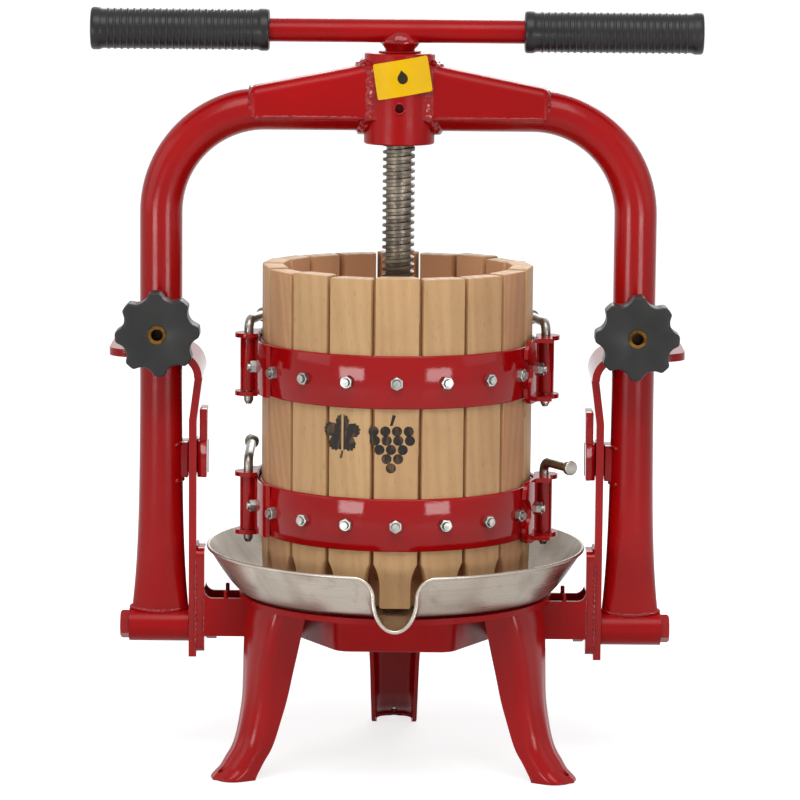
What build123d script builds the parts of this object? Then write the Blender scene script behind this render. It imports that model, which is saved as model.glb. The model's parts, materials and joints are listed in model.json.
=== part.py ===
from build123d import *
import os
from math import cos, hypot, radians, sin, tan

os.makedirs("parts", exist_ok=True)

# All sizes are in millimetres. The floor is at z = 0, the screw stands on the Z axis, and the front is -Y.

# Slatted basket
stave_count = 18
stave_width = 30.2
stave_thickness = 14.0
stave_height = 225.0
stave_gap = 2.0
stave_edge_chamfer = 1.2
stave_foot_inset = 3.6
stave_waist_height = 24.0
stave_waist_radius = 20.0
hoop_height = 35.5
hoop_thickness = 2.8
hoop_edge_round = 0.8
hoop_stave_clearance = 0.05
hoop_half_gap = 3.0
lower_hoop_rise = 41.8
upper_hoop_rise = 137.8

# Bolts through hoop and stave
hoop_bolt_diameter = 5.0
hoop_bolt_head_diameter = 11.0
hoop_bolt_head_height = 2.4
hoop_bolt_tip = 1.4
hoop_nut_width = 8.0
hoop_nut_height = 4.0
bolt_hole_clearance = 0.15

# Basket hinges
hinge_pin_diameter = 6.5
hinge_pin_clearance = 0.15
hinge_pin_tip = 6.2
hinge_pin_point = 2.5
hinge_pin_bend_radius = 6.5
hinge_pin_arm = 34.0
hinge_pin_rise = 8.5
hinge_pin_head_diameter = 10.0
hinge_pin_head_length = 4.0
hinge_sheet = 2.5
hinge_ear_thickness = 3.0
hinge_ear_radius = 9.5
hinge_ear_gap = 0.8
hinge_leaf_reach = 42.5
hinge_ear_reach = 22.0
hinge_notch_radius = 10.0
hinge_corner_radius = 9.0
knuckle_diameter = 11.6
knuckle_end_gap = 0.4
knuckle_hoop_gap = 0.5
left_upper_pin_turn = 75.0
right_upper_pin_turn = 105.0
left_lower_pin_turn = 88.0
right_lower_pin_turn = -61.0
left_lower_pin_climb = 12.0

# Juice tray
tray_sheet = 1.4
tray_margin = 18.2
tray_flare = 18.2
tray_depth = 31.4
tray_corner_radius = 14.0
tray_rim_bead = 2.6
spout_width = 31.0
spout_floor_drop = 3.5
spout_reach = 4.0
spout_lap = 5.0
spout_lip_height = 8.5
spout_corner_radius = 13.0

# Stand
leg_height = 115.0
ring_thickness = 4.0
ring_inset = 3.3
ring_width = 46.0
apron_radius = 66.0
apron_sheet = 3.0
apron_height = 26.5
leg_inset = 3.2
leg_depth = 22.5
leg_foot_depth = 15.5
leg_width = 45.0
leg_foot_width = 29.0
leg_sheet = 3.0
leg_knee_height = 56.0
leg_knee_spread = 8.4
leg_foot_spread = 32.3
leg_round = 7.0
toe_hole_diameter = 5.0
toe_hole_inset = 5.3
arm_width = 33.0
arm_sheet = 3.0
arm_end_rise = 6.0
arm_floor_setback = 17.0
tray_side_gap = 2.2
tray_pin_height = 9.0

# Lock straps beside the columns
inner_plate_thickness = 5.6
inner_plate_depth = 28.0
inner_plate_top = 55.5
inner_plate_bottom = 17.0
strap_thickness = 5.3
strap_depth = 25.0
strap_end_drop = 20.3
strap_column_gap = 5.2
strap_lean_start = 144.0
strap_lean = 6.0
strap_bend_height = 190.0
strap_bend_radius = 15.0
lock_plate_rise = 2.0
lock_plate_overhang = 20.2
lock_plate_back = 46.0
lock_plate_corner = 14.0
column_slot_gap = 1.0

# Pivot of the arch
pivot_drop = 21.5
pivot_bolt_diameter = 10.0
pivot_bolt_clearance = 0.08
pivot_head_width = 17.0
pivot_head_height = 5.8
pivot_nut_height = 8.0
sleeve_diameter = 23.0
sleeve_length = 41.0
side_play = 0.35

# Tilting arch
arch_rise = 105.5
arch_tube_diameter = 29.0
arch_tube_wall = 2.5
arch_bend_radius = 71.0
column_flare_height = 62.5
column_flare_depth = 15.0
hub_diameter = 48.0
hub_height = 59.0
hub_drop = 23.0
hub_edge_round = 2.0
oil_hole_diameter = 4.0
oil_hole_sink_diameter = 7.5
oil_hole_height = 25.0
gusset_reach = 102.0
gusset_sheet = 3.0
gusset_hub_rise = 34.0
gusset_end_rise = 16.5
gusset_skirt = 5.0
gusset_round = 7.0
gusset_play = 0.1

# Guide fork that straddles the strap
fork_rise = 102.0
fork_height = 25.0
fork_cheek_height = 46.0
fork_cheek_thickness = 7.0
fork_web_thickness = 4.0
fork_cheek_gap = 1.3
fork_gap = 0.9

# Star knobs
knob_diameter = 57.0
knob_lobes = 8
knob_scallop_radius = 8.6
knob_scallop_depth = 4.8
knob_thickness = 21.0
knob_round = 1.4
knob_rise = 207.5
insert_diameter = 12.5
stud_diameter = 8.0
stud_pitch = 1.25
stud_clearance = 0.1
stud_front_recess = 15.0
lock_turns = 4
lock_tip_diameter = 6.5
lock_tip_length = 2.0
lock_tip_gap = 0.5
tip_spigot_diameter = 3.5
tip_spigot_length = 8.0
lug_width = 25.0
lug_thickness = 6.0
lug_gap = 2.5
socket_clearance = 0.5

# Press screw and handle
screw_diameter = 22.0
thread_pitch = 5.0
thread_depth = 2.4
thread_root_width = 3.3
thread_crest_width = 1.9
thread_sink = 0.3
screw_bore_clearance = 0.3
neck_diameter = 14.0
journal_diameter = 13.0
journal_length = 12.0
journal_clearance = 0.1
thrust_play = 0.35
washer_diameter = 28.0
washer_thickness = 1.7
boss_height = 7.3
boss_diameter = 18.5
boss_top_diameter = 31.0
handle_diameter = 16.0
handle_length = 409.0
handle_offset = -1.9
grip_length = 121.0
grip_diameter = 27.0
grip_flange_diameter = 29.0
grip_flange_length = 7.0
grip_end_wall = 3.0
grip_rib_count = 20
grip_rib_depth = 0.7
grip_fit = 0.05

# Thrust foot and press disc
foot_diameter = 42.0
foot_height = 24.0
foot_round = 2.0
disc_thickness = 20.0
disc_side_gap = 3.5
disc_floor_gap = 0.3
disc_foot_gap = 17.0
disc_round = 2.0

# Places worked out from the sizes above
bolt_hole_diameter = hoop_bolt_diameter + 2 * bolt_hole_clearance
stave_half_angle = radians(180 / stave_count)
stave_half_pitch = stave_gap / 2 + stave_width / 2 * cos(stave_half_angle)
stave_face = stave_half_pitch / sin(stave_half_angle)
stave_back = stave_face - stave_thickness
basket_radius = hypot(stave_face, stave_width / 2)
hoop_inner = basket_radius + hoop_stave_clearance
hoop_outer = hoop_inner + hoop_thickness
leaf_outer = hoop_outer + hinge_sheet
pin_x = hoop_outer + knuckle_hoop_gap + knuckle_diameter / 2

ring_top = leg_height + ring_thickness
floor_top = ring_top + tray_sheet
tray_floor_radius = basket_radius + tray_margin
tray_rim_radius = tray_floor_radius + tray_flare
tray_rim = ring_top + tray_depth
ring_outer = tray_floor_radius - ring_inset
stave_top = floor_top + stave_height
hoop_bottoms = (floor_top + lower_hoop_rise, floor_top + upper_hoop_rise)

arm_bottom = leg_height - apron_height
pivot_z = leg_height - pivot_drop
inner_plate_x = tray_rim_radius + tray_side_gap
strap_inner = inner_plate_x + inner_plate_thickness
strap_outer = strap_inner + strap_thickness
column_x = strap_outer + strap_column_gap + arch_tube_diameter / 2
sleeve_inner = strap_outer + side_play
sleeve_outer = sleeve_inner + sleeve_length
lock_plate_end = column_x + arch_tube_diameter / 2 + lock_plate_overhang

arch_z = stave_top + arch_rise
hub_bottom = arch_z - hub_drop
hub_top = hub_bottom + hub_height

tube_front = -arch_tube_diameter / 2
lug_back = tube_front - lug_gap
lug_front = lug_back - lug_thickness
lock_travel = lock_turns * stud_pitch
knob_back = lug_front - lock_travel - side_play
knob_front = knob_back - knob_thickness
knob_z = pivot_z + knob_rise
tip_end = tube_front - lock_tip_gap
stud_end = tip_end - lock_tip_length

disc_bottom = floor_top + disc_floor_gap
disc_top = disc_bottom + disc_thickness
foot_bottom = disc_top + disc_foot_gap
foot_top = foot_bottom + foot_height
screw_shoulder = foot_top + thrust_play
washer_bottom = hub_top + thrust_play
boss_bottom = washer_bottom + washer_thickness
handle_z = boss_bottom + boss_height + handle_diameter / 2

parts = {}


def block(x0, x1, y0, y1, z0, z1):
    """A box between two corners."""
    return Pos((x0 + x1) / 2, (y0 + y1) / 2, (z0 + z1) / 2) * Box(x1 - x0, y1 - y0, z1 - z0)


def rod_x(diameter, x0, x1, y, z):
    """A round bar along X."""
    return Pos((x0 + x1) / 2, y, z) * Rot(0, 90, 0) * Cylinder(diameter / 2, x1 - x0)


def rod_y(diameter, y0, y1, x, z):
    """A round bar along Y."""
    return Pos(x, (y0 + y1) / 2, z) * Rot(90, 0, 0) * Cylinder(diameter / 2, y1 - y0)


def rod_z(diameter, z0, z1, x=0.0, y=0.0):
    """A round bar along Z."""
    return Pos(x, y, (z0 + z1) / 2) * Cylinder(diameter / 2, z1 - z0)


def ring_z(outer_radius, inner_radius, z0, z1):
    """A round band about the Z axis."""
    return rod_z(2 * outer_radius, z0, z1) - rod_z(2 * inner_radius, z0, z1)


def both_sides(name, right):
    """Keep a right-hand piece and its mirror image as two nodes."""
    parts["right_" + name] = right
    parts["left_" + name] = mirror(right, about=Plane.YZ)


def pair(name, right):
    """Keep a right-hand piece and its mirror image as separate solids of one node."""
    parts[name] = Compound(children=[right, mirror(right, about=Plane.YZ)])


def group(name, solids):
    """Keep like pieces as separate solids of one node."""
    parts[name] = Compound(children=solids)


def upright_face(*points):
    """A flat outline in the XZ plane."""
    return Plane.XZ * make_face(Polyline(*points, close=True))


# Basket: flat staves with a narrowed foot, drilled for the hoop bolts
def stave():
    half = stave_width / 2
    back_half = half - stave_thickness * tan(stave_half_angle)
    bevel = stave_edge_chamfer
    outline = Polyline(
        (stave_back, -back_half),
        (stave_face - bevel, -half),
        (stave_face, -half + bevel),
        (stave_face, half - bevel),
        (stave_face - bevel, half),
        (stave_back, back_half),
        close=True,
    )
    board = extrude(Pos(0, 0, floor_top) * make_face(outline), amount=stave_height)
    foot_half = half - stave_foot_inset
    waist = floor_top + stave_waist_height
    for side in (-1, 1):
        notch_y = sorted((side * foot_half, side * stave_width))
        board -= block(0, basket_radius, notch_y[0], notch_y[1], floor_top, waist)
        hollow_y = side * (foot_half + stave_waist_radius)
        board -= rod_x(2 * stave_waist_radius, 0, basket_radius, hollow_y, waist)
    for bottom in hoop_bottoms:
        board -= rod_x(bolt_hole_diameter, 0, basket_radius, 0, bottom + hoop_height / 2)
    return board


def half_angles(half):
    """Directions of the staves of one half, with the angle from the middle of that half."""
    middle = -90 if half == "front" else 90
    step = 360 / stave_count
    count = stave_count // 2
    offsets = [(index - (count - 1) / 2) * step for index in range(count)]
    return [(middle + offset, offset) for offset in offsets]


def half_hoop(half, bottom):
    band = ring_z(hoop_outer, hoop_inner, bottom, bottom + hoop_height)
    outer_edges = band.edges().filter_by(GeomType.CIRCLE).filter_by(lambda e: e.radius > hoop_inner + 1)
    band = fillet(outer_edges, hoop_edge_round)
    side = -1 if half == "front" else 1
    cut_y = sorted((side * hoop_half_gap / 2, -side * 2 * hoop_outer))
    band -= block(-2 * hoop_outer, 2 * hoop_outer, cut_y[0], cut_y[1], bottom - 1, bottom + hoop_height + 1)
    for angle, offset in half_angles(half):
        band -= Rot(0, 0, angle) * rod_x(bolt_hole_diameter, 0, 2 * hoop_outer, 0, bottom + hoop_height / 2)
    return band


def hoop_bolt(nut_seat, height):
    shank = rod_x(hoop_bolt_diameter, stave_back, nut_seat + hoop_nut_height + hoop_bolt_tip, 0, height)
    head = rod_x(hoop_bolt_head_diameter, stave_back - hoop_bolt_head_height, stave_back, 0, height)
    head = fillet(head.edges().group_by(Axis.X)[0], hoop_bolt_head_height * 0.8)
    return shank + head


def hex_nut_x(width, height, bore, x0, z):
    """A hex nut whose hole runs along X."""
    blank = Pos(x0, 0, z) * Rot(0, 90, 0) * extrude(RegularPolygon(width / 2, 6, major_radius=False), height)
    corner = width / 2 / cos(radians(30))
    trim = Pos(x0 + height / 2, 0, z) * Rot(0, 90, 0) * Cylinder(corner, height)
    trim = chamfer(trim.edges().group_by(Axis.X)[-1], height * 0.22)
    return (blank & trim) - rod_x(bore, x0 - 1, x0 + height + 1, 0, z)


one_stave = stave()
for half in ("front", "rear"):
    directions = half_angles(half)
    last_offset = directions[-1][1]
    group(half + "_staves", [Rot(0, 0, angle) * one_stave for angle, offset in directions])
    bolts = []
    nuts = []
    for level, bottom in zip(("lower", "upper"), hoop_bottoms):
        parts[f"{half}_{level}_hoop"] = half_hoop(half, bottom)
        height = bottom + hoop_height / 2
        for angle, offset in directions:
            seat = leaf_outer if abs(abs(offset) - last_offset) < 1 else hoop_outer
            bolts.append(Rot(0, 0, angle) * hoop_bolt(seat, height))
            nut = hex_nut_x(hoop_nut_width, hoop_nut_height, bolt_hole_diameter, seat, height)
            nuts.append(Rot(0, 0, angle) * nut)
    group(half + "_hoop_bolts", bolts)
    group(half + "_hoop_nuts", nuts)


# Hinges: each half carries eared brackets at one end and knuckles at the other, with a bent pin through both
pin_bore = hinge_pin_diameter + 2 * hinge_pin_clearance
ear_offset = hoop_height / 2 + hinge_ear_gap
leaf_angle = half_angles("front")[-1][0]


def leaf(side, middle, half_height):
    """A strip of sheet bent round the hoop, on one side of the pin or the other."""
    strip = ring_z(leaf_outer, hoop_outer, middle - half_height, middle + half_height)
    reach = sorted((side * (knuckle_diameter / 2 + 1), side * hinge_leaf_reach))
    strip &= block(0, 2 * pin_x, reach[0], reach[1], middle - half_height, middle + half_height)
    bolt = rod_x(bolt_hole_diameter, 0, 2 * pin_x, 0, middle)
    return strip - Rot(0, 0, -side * leaf_angle) * bolt


def hinge_bracket(middle):
    ear_top = ear_offset + hinge_ear_thickness
    front = -hinge_leaf_reach
    outline = Pos(front / 2, middle) * Rectangle(hinge_leaf_reach, 2 * ear_top)
    outline = fillet(outline.vertices().group_by(Axis.X)[0], hinge_corner_radius)
    outline -= Pos(front, middle) * Circle(hinge_notch_radius)
    bracket = leaf(-1, middle, ear_top) & extrude(Plane.YZ * outline, amount=2 * pin_x)
    for z0 in (middle - ear_top, middle + ear_offset):
        z1 = z0 + hinge_ear_thickness
        ear = rod_z(2 * hinge_ear_radius, z0, z1, pin_x)
        ear += block(stave_face, pin_x + hinge_ear_radius * 0.4, -hinge_ear_reach, 0, z0, z1)
        ear -= rod_z(2 * hoop_outer, z0, z1)
        bracket += ear - rod_z(pin_bore, z0, z1, pin_x)
    return bracket


def hinge_knuckle(middle):
    half = ear_offset - knuckle_end_gap
    barrel = rod_z(knuckle_diameter, middle - half, middle + half, pin_x)
    low = middle - hoop_height / 2
    tongue = block(hoop_outer, pin_x, 0, knuckle_diameter / 2 + 2, low, low + hoop_height)
    tongue -= rod_z(2 * hoop_outer, middle - half, middle + half)
    tongue &= rod_z(2 * leaf_outer, middle - half, middle + half)
    plate = leaf(1, middle, hoop_height / 2)
    return barrel + tongue + plate - rod_z(pin_bore, middle - half, middle + half, pin_x)


def hinge_pin(x, middle, turn, climb=0.0):
    bottom = middle - ear_offset - hinge_ear_thickness - hinge_pin_tip
    corner = middle + ear_offset + hinge_ear_thickness + hinge_pin_rise
    rise = radians(climb)
    aim = Vector(cos(radians(turn)) * cos(rise), sin(radians(turn)) * cos(rise), sin(rise))
    end = Vector(x, 0, corner) + aim * hinge_pin_arm
    start = Vector(x, 0, bottom + hinge_pin_point)
    route = FilletPolyline(start, (x, 0, corner), end, radius=hinge_pin_bend_radius)
    section = Plane(origin=start, z_dir=(0, 0, 1)) * Circle(hinge_pin_diameter / 2)
    rod = sweep(section, path=route)
    point = Pos(x, 0, bottom + hinge_pin_point / 2)
    rod += point * Cone(hinge_pin_diameter * 0.3, hinge_pin_diameter / 2, hinge_pin_point)
    head = Cylinder(hinge_pin_head_diameter / 2, hinge_pin_head_length)
    head = fillet(head.edges(), hinge_pin_head_length * 0.25)
    return rod + Plane(origin=end, z_dir=aim) * head


middles = [bottom + hoop_height / 2 for bottom in hoop_bottoms]
for name, make in (("hinge_brackets", hinge_bracket), ("hinge_knuckles", hinge_knuckle)):
    lower_and_upper = [make(middle) for middle in middles]
    group("right_" + name, lower_and_upper)
    group("left_" + name, [Rot(0, 0, 180) * piece for piece in lower_and_upper])
parts["left_lower_hinge_pin"] = hinge_pin(-pin_x, middles[0], left_lower_pin_turn, left_lower_pin_climb)
parts["right_lower_hinge_pin"] = hinge_pin(pin_x, middles[0], right_lower_pin_turn)
parts["left_upper_hinge_pin"] = hinge_pin(-pin_x, middles[1], left_upper_pin_turn)
parts["right_upper_hinge_pin"] = hinge_pin(pin_x, middles[1], right_upper_pin_turn)


# Juice tray: a flared pan with a U-shaped spout let into its front wall
def tray_pan(inset, floor):
    """Half outline of the pan, turned about the screw axis."""
    top = tray_rim + (1 if inset else 0)
    flare = tray_flare * (top - ring_top) / tray_depth
    base = tray_floor_radius - inset + tray_flare * (floor - ring_top) / tray_depth
    rim = tray_floor_radius - inset + flare
    outline = make_face(Polyline((0, floor), (base, floor), (rim, top), (0, top), close=True))
    corner = outline.vertices().sort_by_distance((base, floor))[0]
    return revolve(Plane.XZ * fillet(corner, tray_corner_radius - inset), axis=Axis.Z)


def spout_section(y, floor, inset):
    """The spout's U, flared to the level of the rim, at one depth."""
    half = spout_width / 2 - inset
    corner = spout_corner_radius
    flat_top = tray_rim + (1 if inset else 0)
    bow = 1 - cos(radians(45))
    bottom_mid = floor + inset
    shoulder = tray_rim - corner
    throat = bottom_mid + half
    right = [
        ThreePointArc((0, bottom_mid), (half * sin(radians(45)), bottom_mid + half * bow), (half, throat)),
        Line((half, throat), (half, shoulder)),
        ThreePointArc(
            (half, shoulder), (half + corner * bow, shoulder + corner * (1 - bow)), (half + corner, tray_rim)
        ),
        Line((half + corner, tray_rim), (half + corner, flat_top + 1)),
        Line((half + corner, flat_top + 1), (0, flat_top + 1)),
    ]
    left = [mirror(edge, about=Plane.YZ) for edge in right]
    return Plane(origin=(0, y, 0), x_dir=(1, 0, 0), z_dir=(0, -1, 0)) * make_face(right + left)


def spout(inset):
    """The spout's outer or inner form, level over the base ring and then falling to the lip."""
    lip_y = -tray_rim_radius - spout_reach
    back_y = -tray_floor_radius + spout_lap
    knee = spout_section(-ring_outer - 1, ring_top, inset)
    lip = spout_section(lip_y, ring_top - spout_floor_drop, inset)
    inner = spout_section(back_y, ring_top, inset)
    return loft([inner, knee], ruled=True) + loft([knee, lip], ruled=True)


def juice_tray():
    bead_ring = Torus(tray_rim_radius - tray_rim_bead / 2, tray_rim_bead / 2)
    pan = tray_pan(0, ring_top)
    lip_y = -tray_rim_radius - spout_reach
    slope = make_face(
        Polyline(
            (-tray_rim_radius, tray_rim + 1),
            (lip_y, ring_top - spout_floor_drop + spout_lip_height),
            (lip_y, 0),
            (0, 0),
            (0, tray_rim + 1),
            close=True,
        )
    )
    side_limit = extrude(Plane.YZ * slope, amount=tray_rim_radius, both=True)
    ceiling = block(-tray_rim_radius, tray_rim_radius, 2 * lip_y, 0, 0, tray_rim)
    form = pan + (spout(0) & side_limit & ceiling)
    form -= tray_pan(tray_sheet, floor_top)
    rim = Pos(0, 0, tray_rim) * bead_ring
    rim -= block(-spout_width, spout_width, 2 * lip_y, 0, 0, 2 * tray_rim)
    return form - spout(tray_sheet) + rim


parts["juice_tray"] = juice_tray()


# Stand: ring, six-sided apron, three sabre legs and two channel arms
def six_sided(radius, z0, z1):
    return extrude(Pos(0, 0, z0) * RegularPolygon(radius, 6, major_radius=False), amount=z1 - z0)


parts["base_ring"] = ring_z(ring_outer, ring_outer - ring_width, leg_height, ring_top)
apron_prism = six_sided(apron_radius, arm_bottom, leg_height)
parts["base_apron"] = apron_prism - six_sided(apron_radius - apron_sheet, arm_bottom, leg_height)


def leg_outline(inset, top_depth, foot_depth):
    """Side view of a leg: straight down to the knee, then curving out to the floor."""
    top = ring_outer - leg_inset - inset
    knee = top + leg_knee_spread
    foot = top + leg_foot_spread
    lean = (leg_knee_spread, leg_knee_height - leg_height)
    outer = [
        Line((top, leg_height), (knee, leg_knee_height)),
        TangentArc((knee, leg_knee_height), (foot, 0), tangent=lean),
    ]
    knee_in = knee - (top_depth + foot_depth) / 2
    top_in = top - top_depth
    foot_in = foot - foot_depth
    lean_in = (knee_in - top_in, leg_knee_height - leg_height)
    inner = [
        Line((top_in, leg_height), (knee_in, leg_knee_height)),
        TangentArc((knee_in, leg_knee_height), (foot_in, 0), tangent=lean_in),
    ]
    ends = [Line((top, leg_height), (top_in, leg_height)), Line((foot, 0), (foot_in, 0))]
    return Plane.XZ * make_face(outer + inner + ends)


def leg_taper(inset):
    """Front view of a leg, narrower at the foot, as a long prism."""
    top_half = leg_width / 2 - inset
    foot_half = leg_foot_width / 2 - inset
    right = [(foot_half, 0), (top_half, leg_height)]
    outline = Polyline(*right, (-top_half, leg_height), (-foot_half, 0), close=True)
    return extrude(Plane.YZ * make_face(outline), amount=3 * ring_outer)


def leg():
    body = extrude(leg_outline(0, leg_depth, leg_foot_depth), amount=leg_width, both=True) & leg_taper(0)
    rising = body.edges().filter_by(lambda edge: abs(edge.tangent_at(0.5).Z) > 0.3)
    straight = rising.filter_by(GeomType.LINE).sort_by(lambda edge: edge.center().X)[-2:]
    curved = rising.filter_by(GeomType.LINE, reverse=True).sort_by(lambda edge: edge.center().X)[-2:]
    body = fillet(straight + curved, leg_round)
    deep = 2 * leg_depth
    hollow = extrude(leg_outline(leg_sheet * 1.1, deep, deep), amount=leg_width, both=True)
    hollow &= leg_taper(leg_sheet)
    foot = ring_outer - leg_inset + leg_foot_spread
    hollow -= block(foot - leg_foot_depth, 2 * foot, -leg_width, leg_width, 0, leg_sheet)
    return body - hollow - rod_z(toe_hole_diameter, 0, leg_knee_height, foot - toe_hole_inset)


sabre_leg = leg()
for name, angle in (("rear_leg", 90), ("front_left_leg", 210), ("front_right_leg", 330)):
    parts[name] = Rot(0, 0, angle) * sabre_leg


def arm():
    rise = arm_end_rise
    bow = rise * (1 - cos(radians(45)))
    top = leg_height
    end = inner_plate_x
    edges = [
        Line((0, arm_bottom), (end, arm_bottom)),
        Line((end, arm_bottom), (end, top + rise)),
        ThreePointArc((end, top + rise), (end - bow, top + bow), (end - rise, top)),
        Line((end - rise, top), (0, top)),
        Line((0, top), (0, arm_bottom)),
    ]
    side_view = Plane.XZ * make_face(edges)
    channel = extrude(side_view, amount=arm_width / 2, both=True)
    inside = arm_width / 2 - arm_sheet
    channel -= block(0, end, -inside, inside, arm_bottom + arm_sheet, 2 * top)
    channel -= block(end - arm_floor_setback, end, -inside, inside, arm_bottom, 2 * top)
    return channel - six_sided(apron_radius, 0, 2 * top)


both_sides("arm", arm())
tray_pin_x = (ring_outer + inner_plate_x - arm_end_rise) / 2
tray_pin_y = (arm_width - arm_sheet) / 2
tray_pin = rod_z(arm_sheet, leg_height, leg_height + tray_pin_height, tray_pin_x, tray_pin_y)
tray_pins = [tray_pin, mirror(tray_pin, about=Plane.XZ)]
group("tray_locating_pins", tray_pins + [mirror(pin, about=Plane.YZ) for pin in tray_pins])


# Lock straps: flat bars that rise beside the columns and end in a slotted plate
pivot_hole = pivot_bolt_diameter + 2 * pivot_bolt_clearance


def inner_plate():
    depth = inner_plate_depth / 2
    low = pivot_z - inner_plate_bottom
    plate = block(inner_plate_x, strap_inner, -depth, depth, low, pivot_z + inner_plate_top)
    plate = fillet(plate.edges().filter_by(Axis.X), strap_depth / 4)
    return plate - rod_x(pivot_hole, inner_plate_x, strap_inner, 0, pivot_z)


both_sides("inner_plate", inner_plate())


def strap():
    middle = (strap_inner + strap_outer) / 2
    bend_z = pivot_z + strap_bend_height
    route = FilletPolyline(
        (middle, pivot_z - strap_end_drop),
        (middle, pivot_z + strap_lean_start),
        (middle - strap_lean, bend_z),
        (lock_plate_end, bend_z + lock_plate_rise),
        radius=strap_bend_radius,
    )
    side_view = Plane.XZ * trace(route, strap_thickness)
    bar = extrude(side_view, amount=strap_depth / 2, both=True)
    front = lug_front
    plan = Pos(0, (front + lock_plate_back) / 2) * Rectangle(2 * lock_plate_end, lock_plate_back - front)
    plan = fillet(plan.vertices().group_by(Axis.X)[-1], lock_plate_corner)
    plate = extrude(side_view, amount=2 * lock_plate_back, both=True) & extrude(plan, amount=2 * bend_z)
    plate &= block(0, 2 * lock_plate_end, front, lock_plate_back, bend_z - strap_bend_radius, 2 * bend_z)
    slot = arch_tube_diameter + 2 * column_slot_gap
    plate_floor = bend_z - strap_bend_radius
    plate -= rod_z(slot, plate_floor, 2 * bend_z, column_x)
    plate -= block(column_x - slot / 2, column_x + slot / 2, 0, 2 * lock_plate_back, plate_floor, 2 * bend_z)
    bar -= block(strap_outer, 2 * lock_plate_end, -strap_depth, strap_depth, plate_floor, 2 * bend_z)
    return bar + plate


right_strap = strap() - rod_x(pivot_hole, strap_inner, strap_outer, 0, pivot_z)
both_sides("lock_strap", right_strap)


def lock_lug():
    """Upright lug on the front edge of the slotted plate, tapped for the knob's stud."""
    half = lug_width / 2
    lug = block(column_x - half, column_x + half, lug_front, lug_back, pivot_z + strap_bend_height, knob_z)
    lug += rod_y(lug_width, lug_front, lug_back, column_x, knob_z)
    lug -= rod_y(stud_diameter + 2 * stud_clearance, lug_front, lug_back, column_x, knob_z)
    return lug - right_strap


pair("lock_lugs", lock_lug().solids().sort_by(Axis.Z)[-1])

# Pivot bolts and the sleeves that turn on them
head_x = sleeve_outer + side_play


def pivot_bolt():
    bolt = rod_x(pivot_bolt_diameter, inner_plate_x - pivot_nut_height - 2, head_x, 0, pivot_z)
    return bolt + hex_nut_x(pivot_head_width, pivot_head_height, 0.5, head_x, pivot_z) + rod_x(
        pivot_bolt_diameter, head_x, head_x + pivot_head_height / 2, 0, pivot_z
    )


pair("pivot_bolts", pivot_bolt())
nut_x = inner_plate_x - pivot_nut_height
pair("pivot_nuts", hex_nut_x(pivot_head_width, pivot_nut_height, pivot_hole, nut_x, pivot_z))
sleeve = rod_x(sleeve_diameter, sleeve_inner, sleeve_outer, 0, pivot_z)
both_sides("pivot_sleeve", sleeve - rod_x(pivot_hole, sleeve_inner, sleeve_outer, 0, pivot_z))


# Tilting arch: bent tube with flared feet, hub, gussets and guide forks
def tube_half(diameter):
    """One half of the arch tube as a solid bar, from the flare up and over to the hub."""
    flare_top = pivot_z + column_flare_height
    route = FilletPolyline(
        (column_x, 0, flare_top), (column_x, 0, arch_z), (0, 0, arch_z), radius=arch_bend_radius
    )
    bar = sweep(Plane(origin=(column_x, 0, flare_top)) * Circle(diameter / 2), path=route)
    trim = arch_tube_diameter - diameter
    flare_x = (sleeve_inner + sleeve_outer) / 2
    oval = Ellipse((sleeve_length - trim) / 2, (column_flare_depth - trim) / 2)
    flare = loft([Pos(flare_x, 0, pivot_z) * oval, Pos(column_x, 0, flare_top) * Circle(diameter / 2)])
    return bar + flare


def arch_tube():
    tube = tube_half(arch_tube_diameter) - tube_half(arch_tube_diameter - 2 * arch_tube_wall)
    tube -= rod_z(hub_diameter, hub_bottom, hub_top)
    tube -= block(-hub_diameter, 0, -hub_diameter, hub_diameter, hub_bottom, hub_top)
    tube -= rod_x(sleeve_diameter, 0, 2 * sleeve_outer, 0, pivot_z)
    socket = stud_diameter + 2 * socket_clearance
    return tube - rod_y(socket, -arch_tube_diameter, 0, column_x, knob_z)


both_sides("arch_tube", arch_tube().solids().sort_by(SortBy.VOLUME)[-1])


def hub():
    body = rod_z(hub_diameter, hub_bottom, hub_top)
    body = fillet(body.edges().filter_by(GeomType.CIRCLE), hub_edge_round)
    body -= rod_z(screw_diameter + 2 * screw_bore_clearance, hub_bottom, hub_top)
    oil_z = hub_bottom + oil_hole_height
    sink_depth = (oil_hole_sink_diameter - oil_hole_diameter) / 2
    sink = Cone(oil_hole_diameter / 2, oil_hole_sink_diameter / 2, sink_depth)
    body -= rod_y(oil_hole_diameter, -hub_diameter, 0, 0, oil_z)
    return body - Pos(0, -hub_diameter / 2 + sink_depth / 2, oil_z) * Rot(90, 0, 0) * sink


parts["screw_hub"] = hub()


def gusset_form(width, drop):
    """Tapered saddle over the cross tube, as a solid form, with its top lowered by the drop."""
    outline = upright_face(
        (0, arch_z + gusset_hub_rise - drop),
        (gusset_reach, arch_z + gusset_end_rise - drop),
        (gusset_reach, arch_z - gusset_skirt),
        (0, arch_z - gusset_skirt),
    )
    return extrude(outline, amount=width / 2, both=True)


def gusset():
    inner_width = arch_tube_diameter + 2 * gusset_play
    form = gusset_form(inner_width + 2 * gusset_sheet, 0)
    along = form.edges().filter_by(lambda edge: abs(edge.tangent_at(0.5).X) > 0.5)
    form = fillet(along.filter_by(lambda edge: edge.center().Z > arch_z), gusset_round)
    form -= gusset_form(inner_width, gusset_sheet)
    form -= rod_x(inner_width, 0, gusset_reach, 0, arch_z)
    return form - rod_z(hub_diameter + 2 * gusset_play, hub_bottom - 1, hub_top + 1)


both_sides("arch_gusset", gusset().solids().sort_by(Axis.X)[-1])


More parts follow.
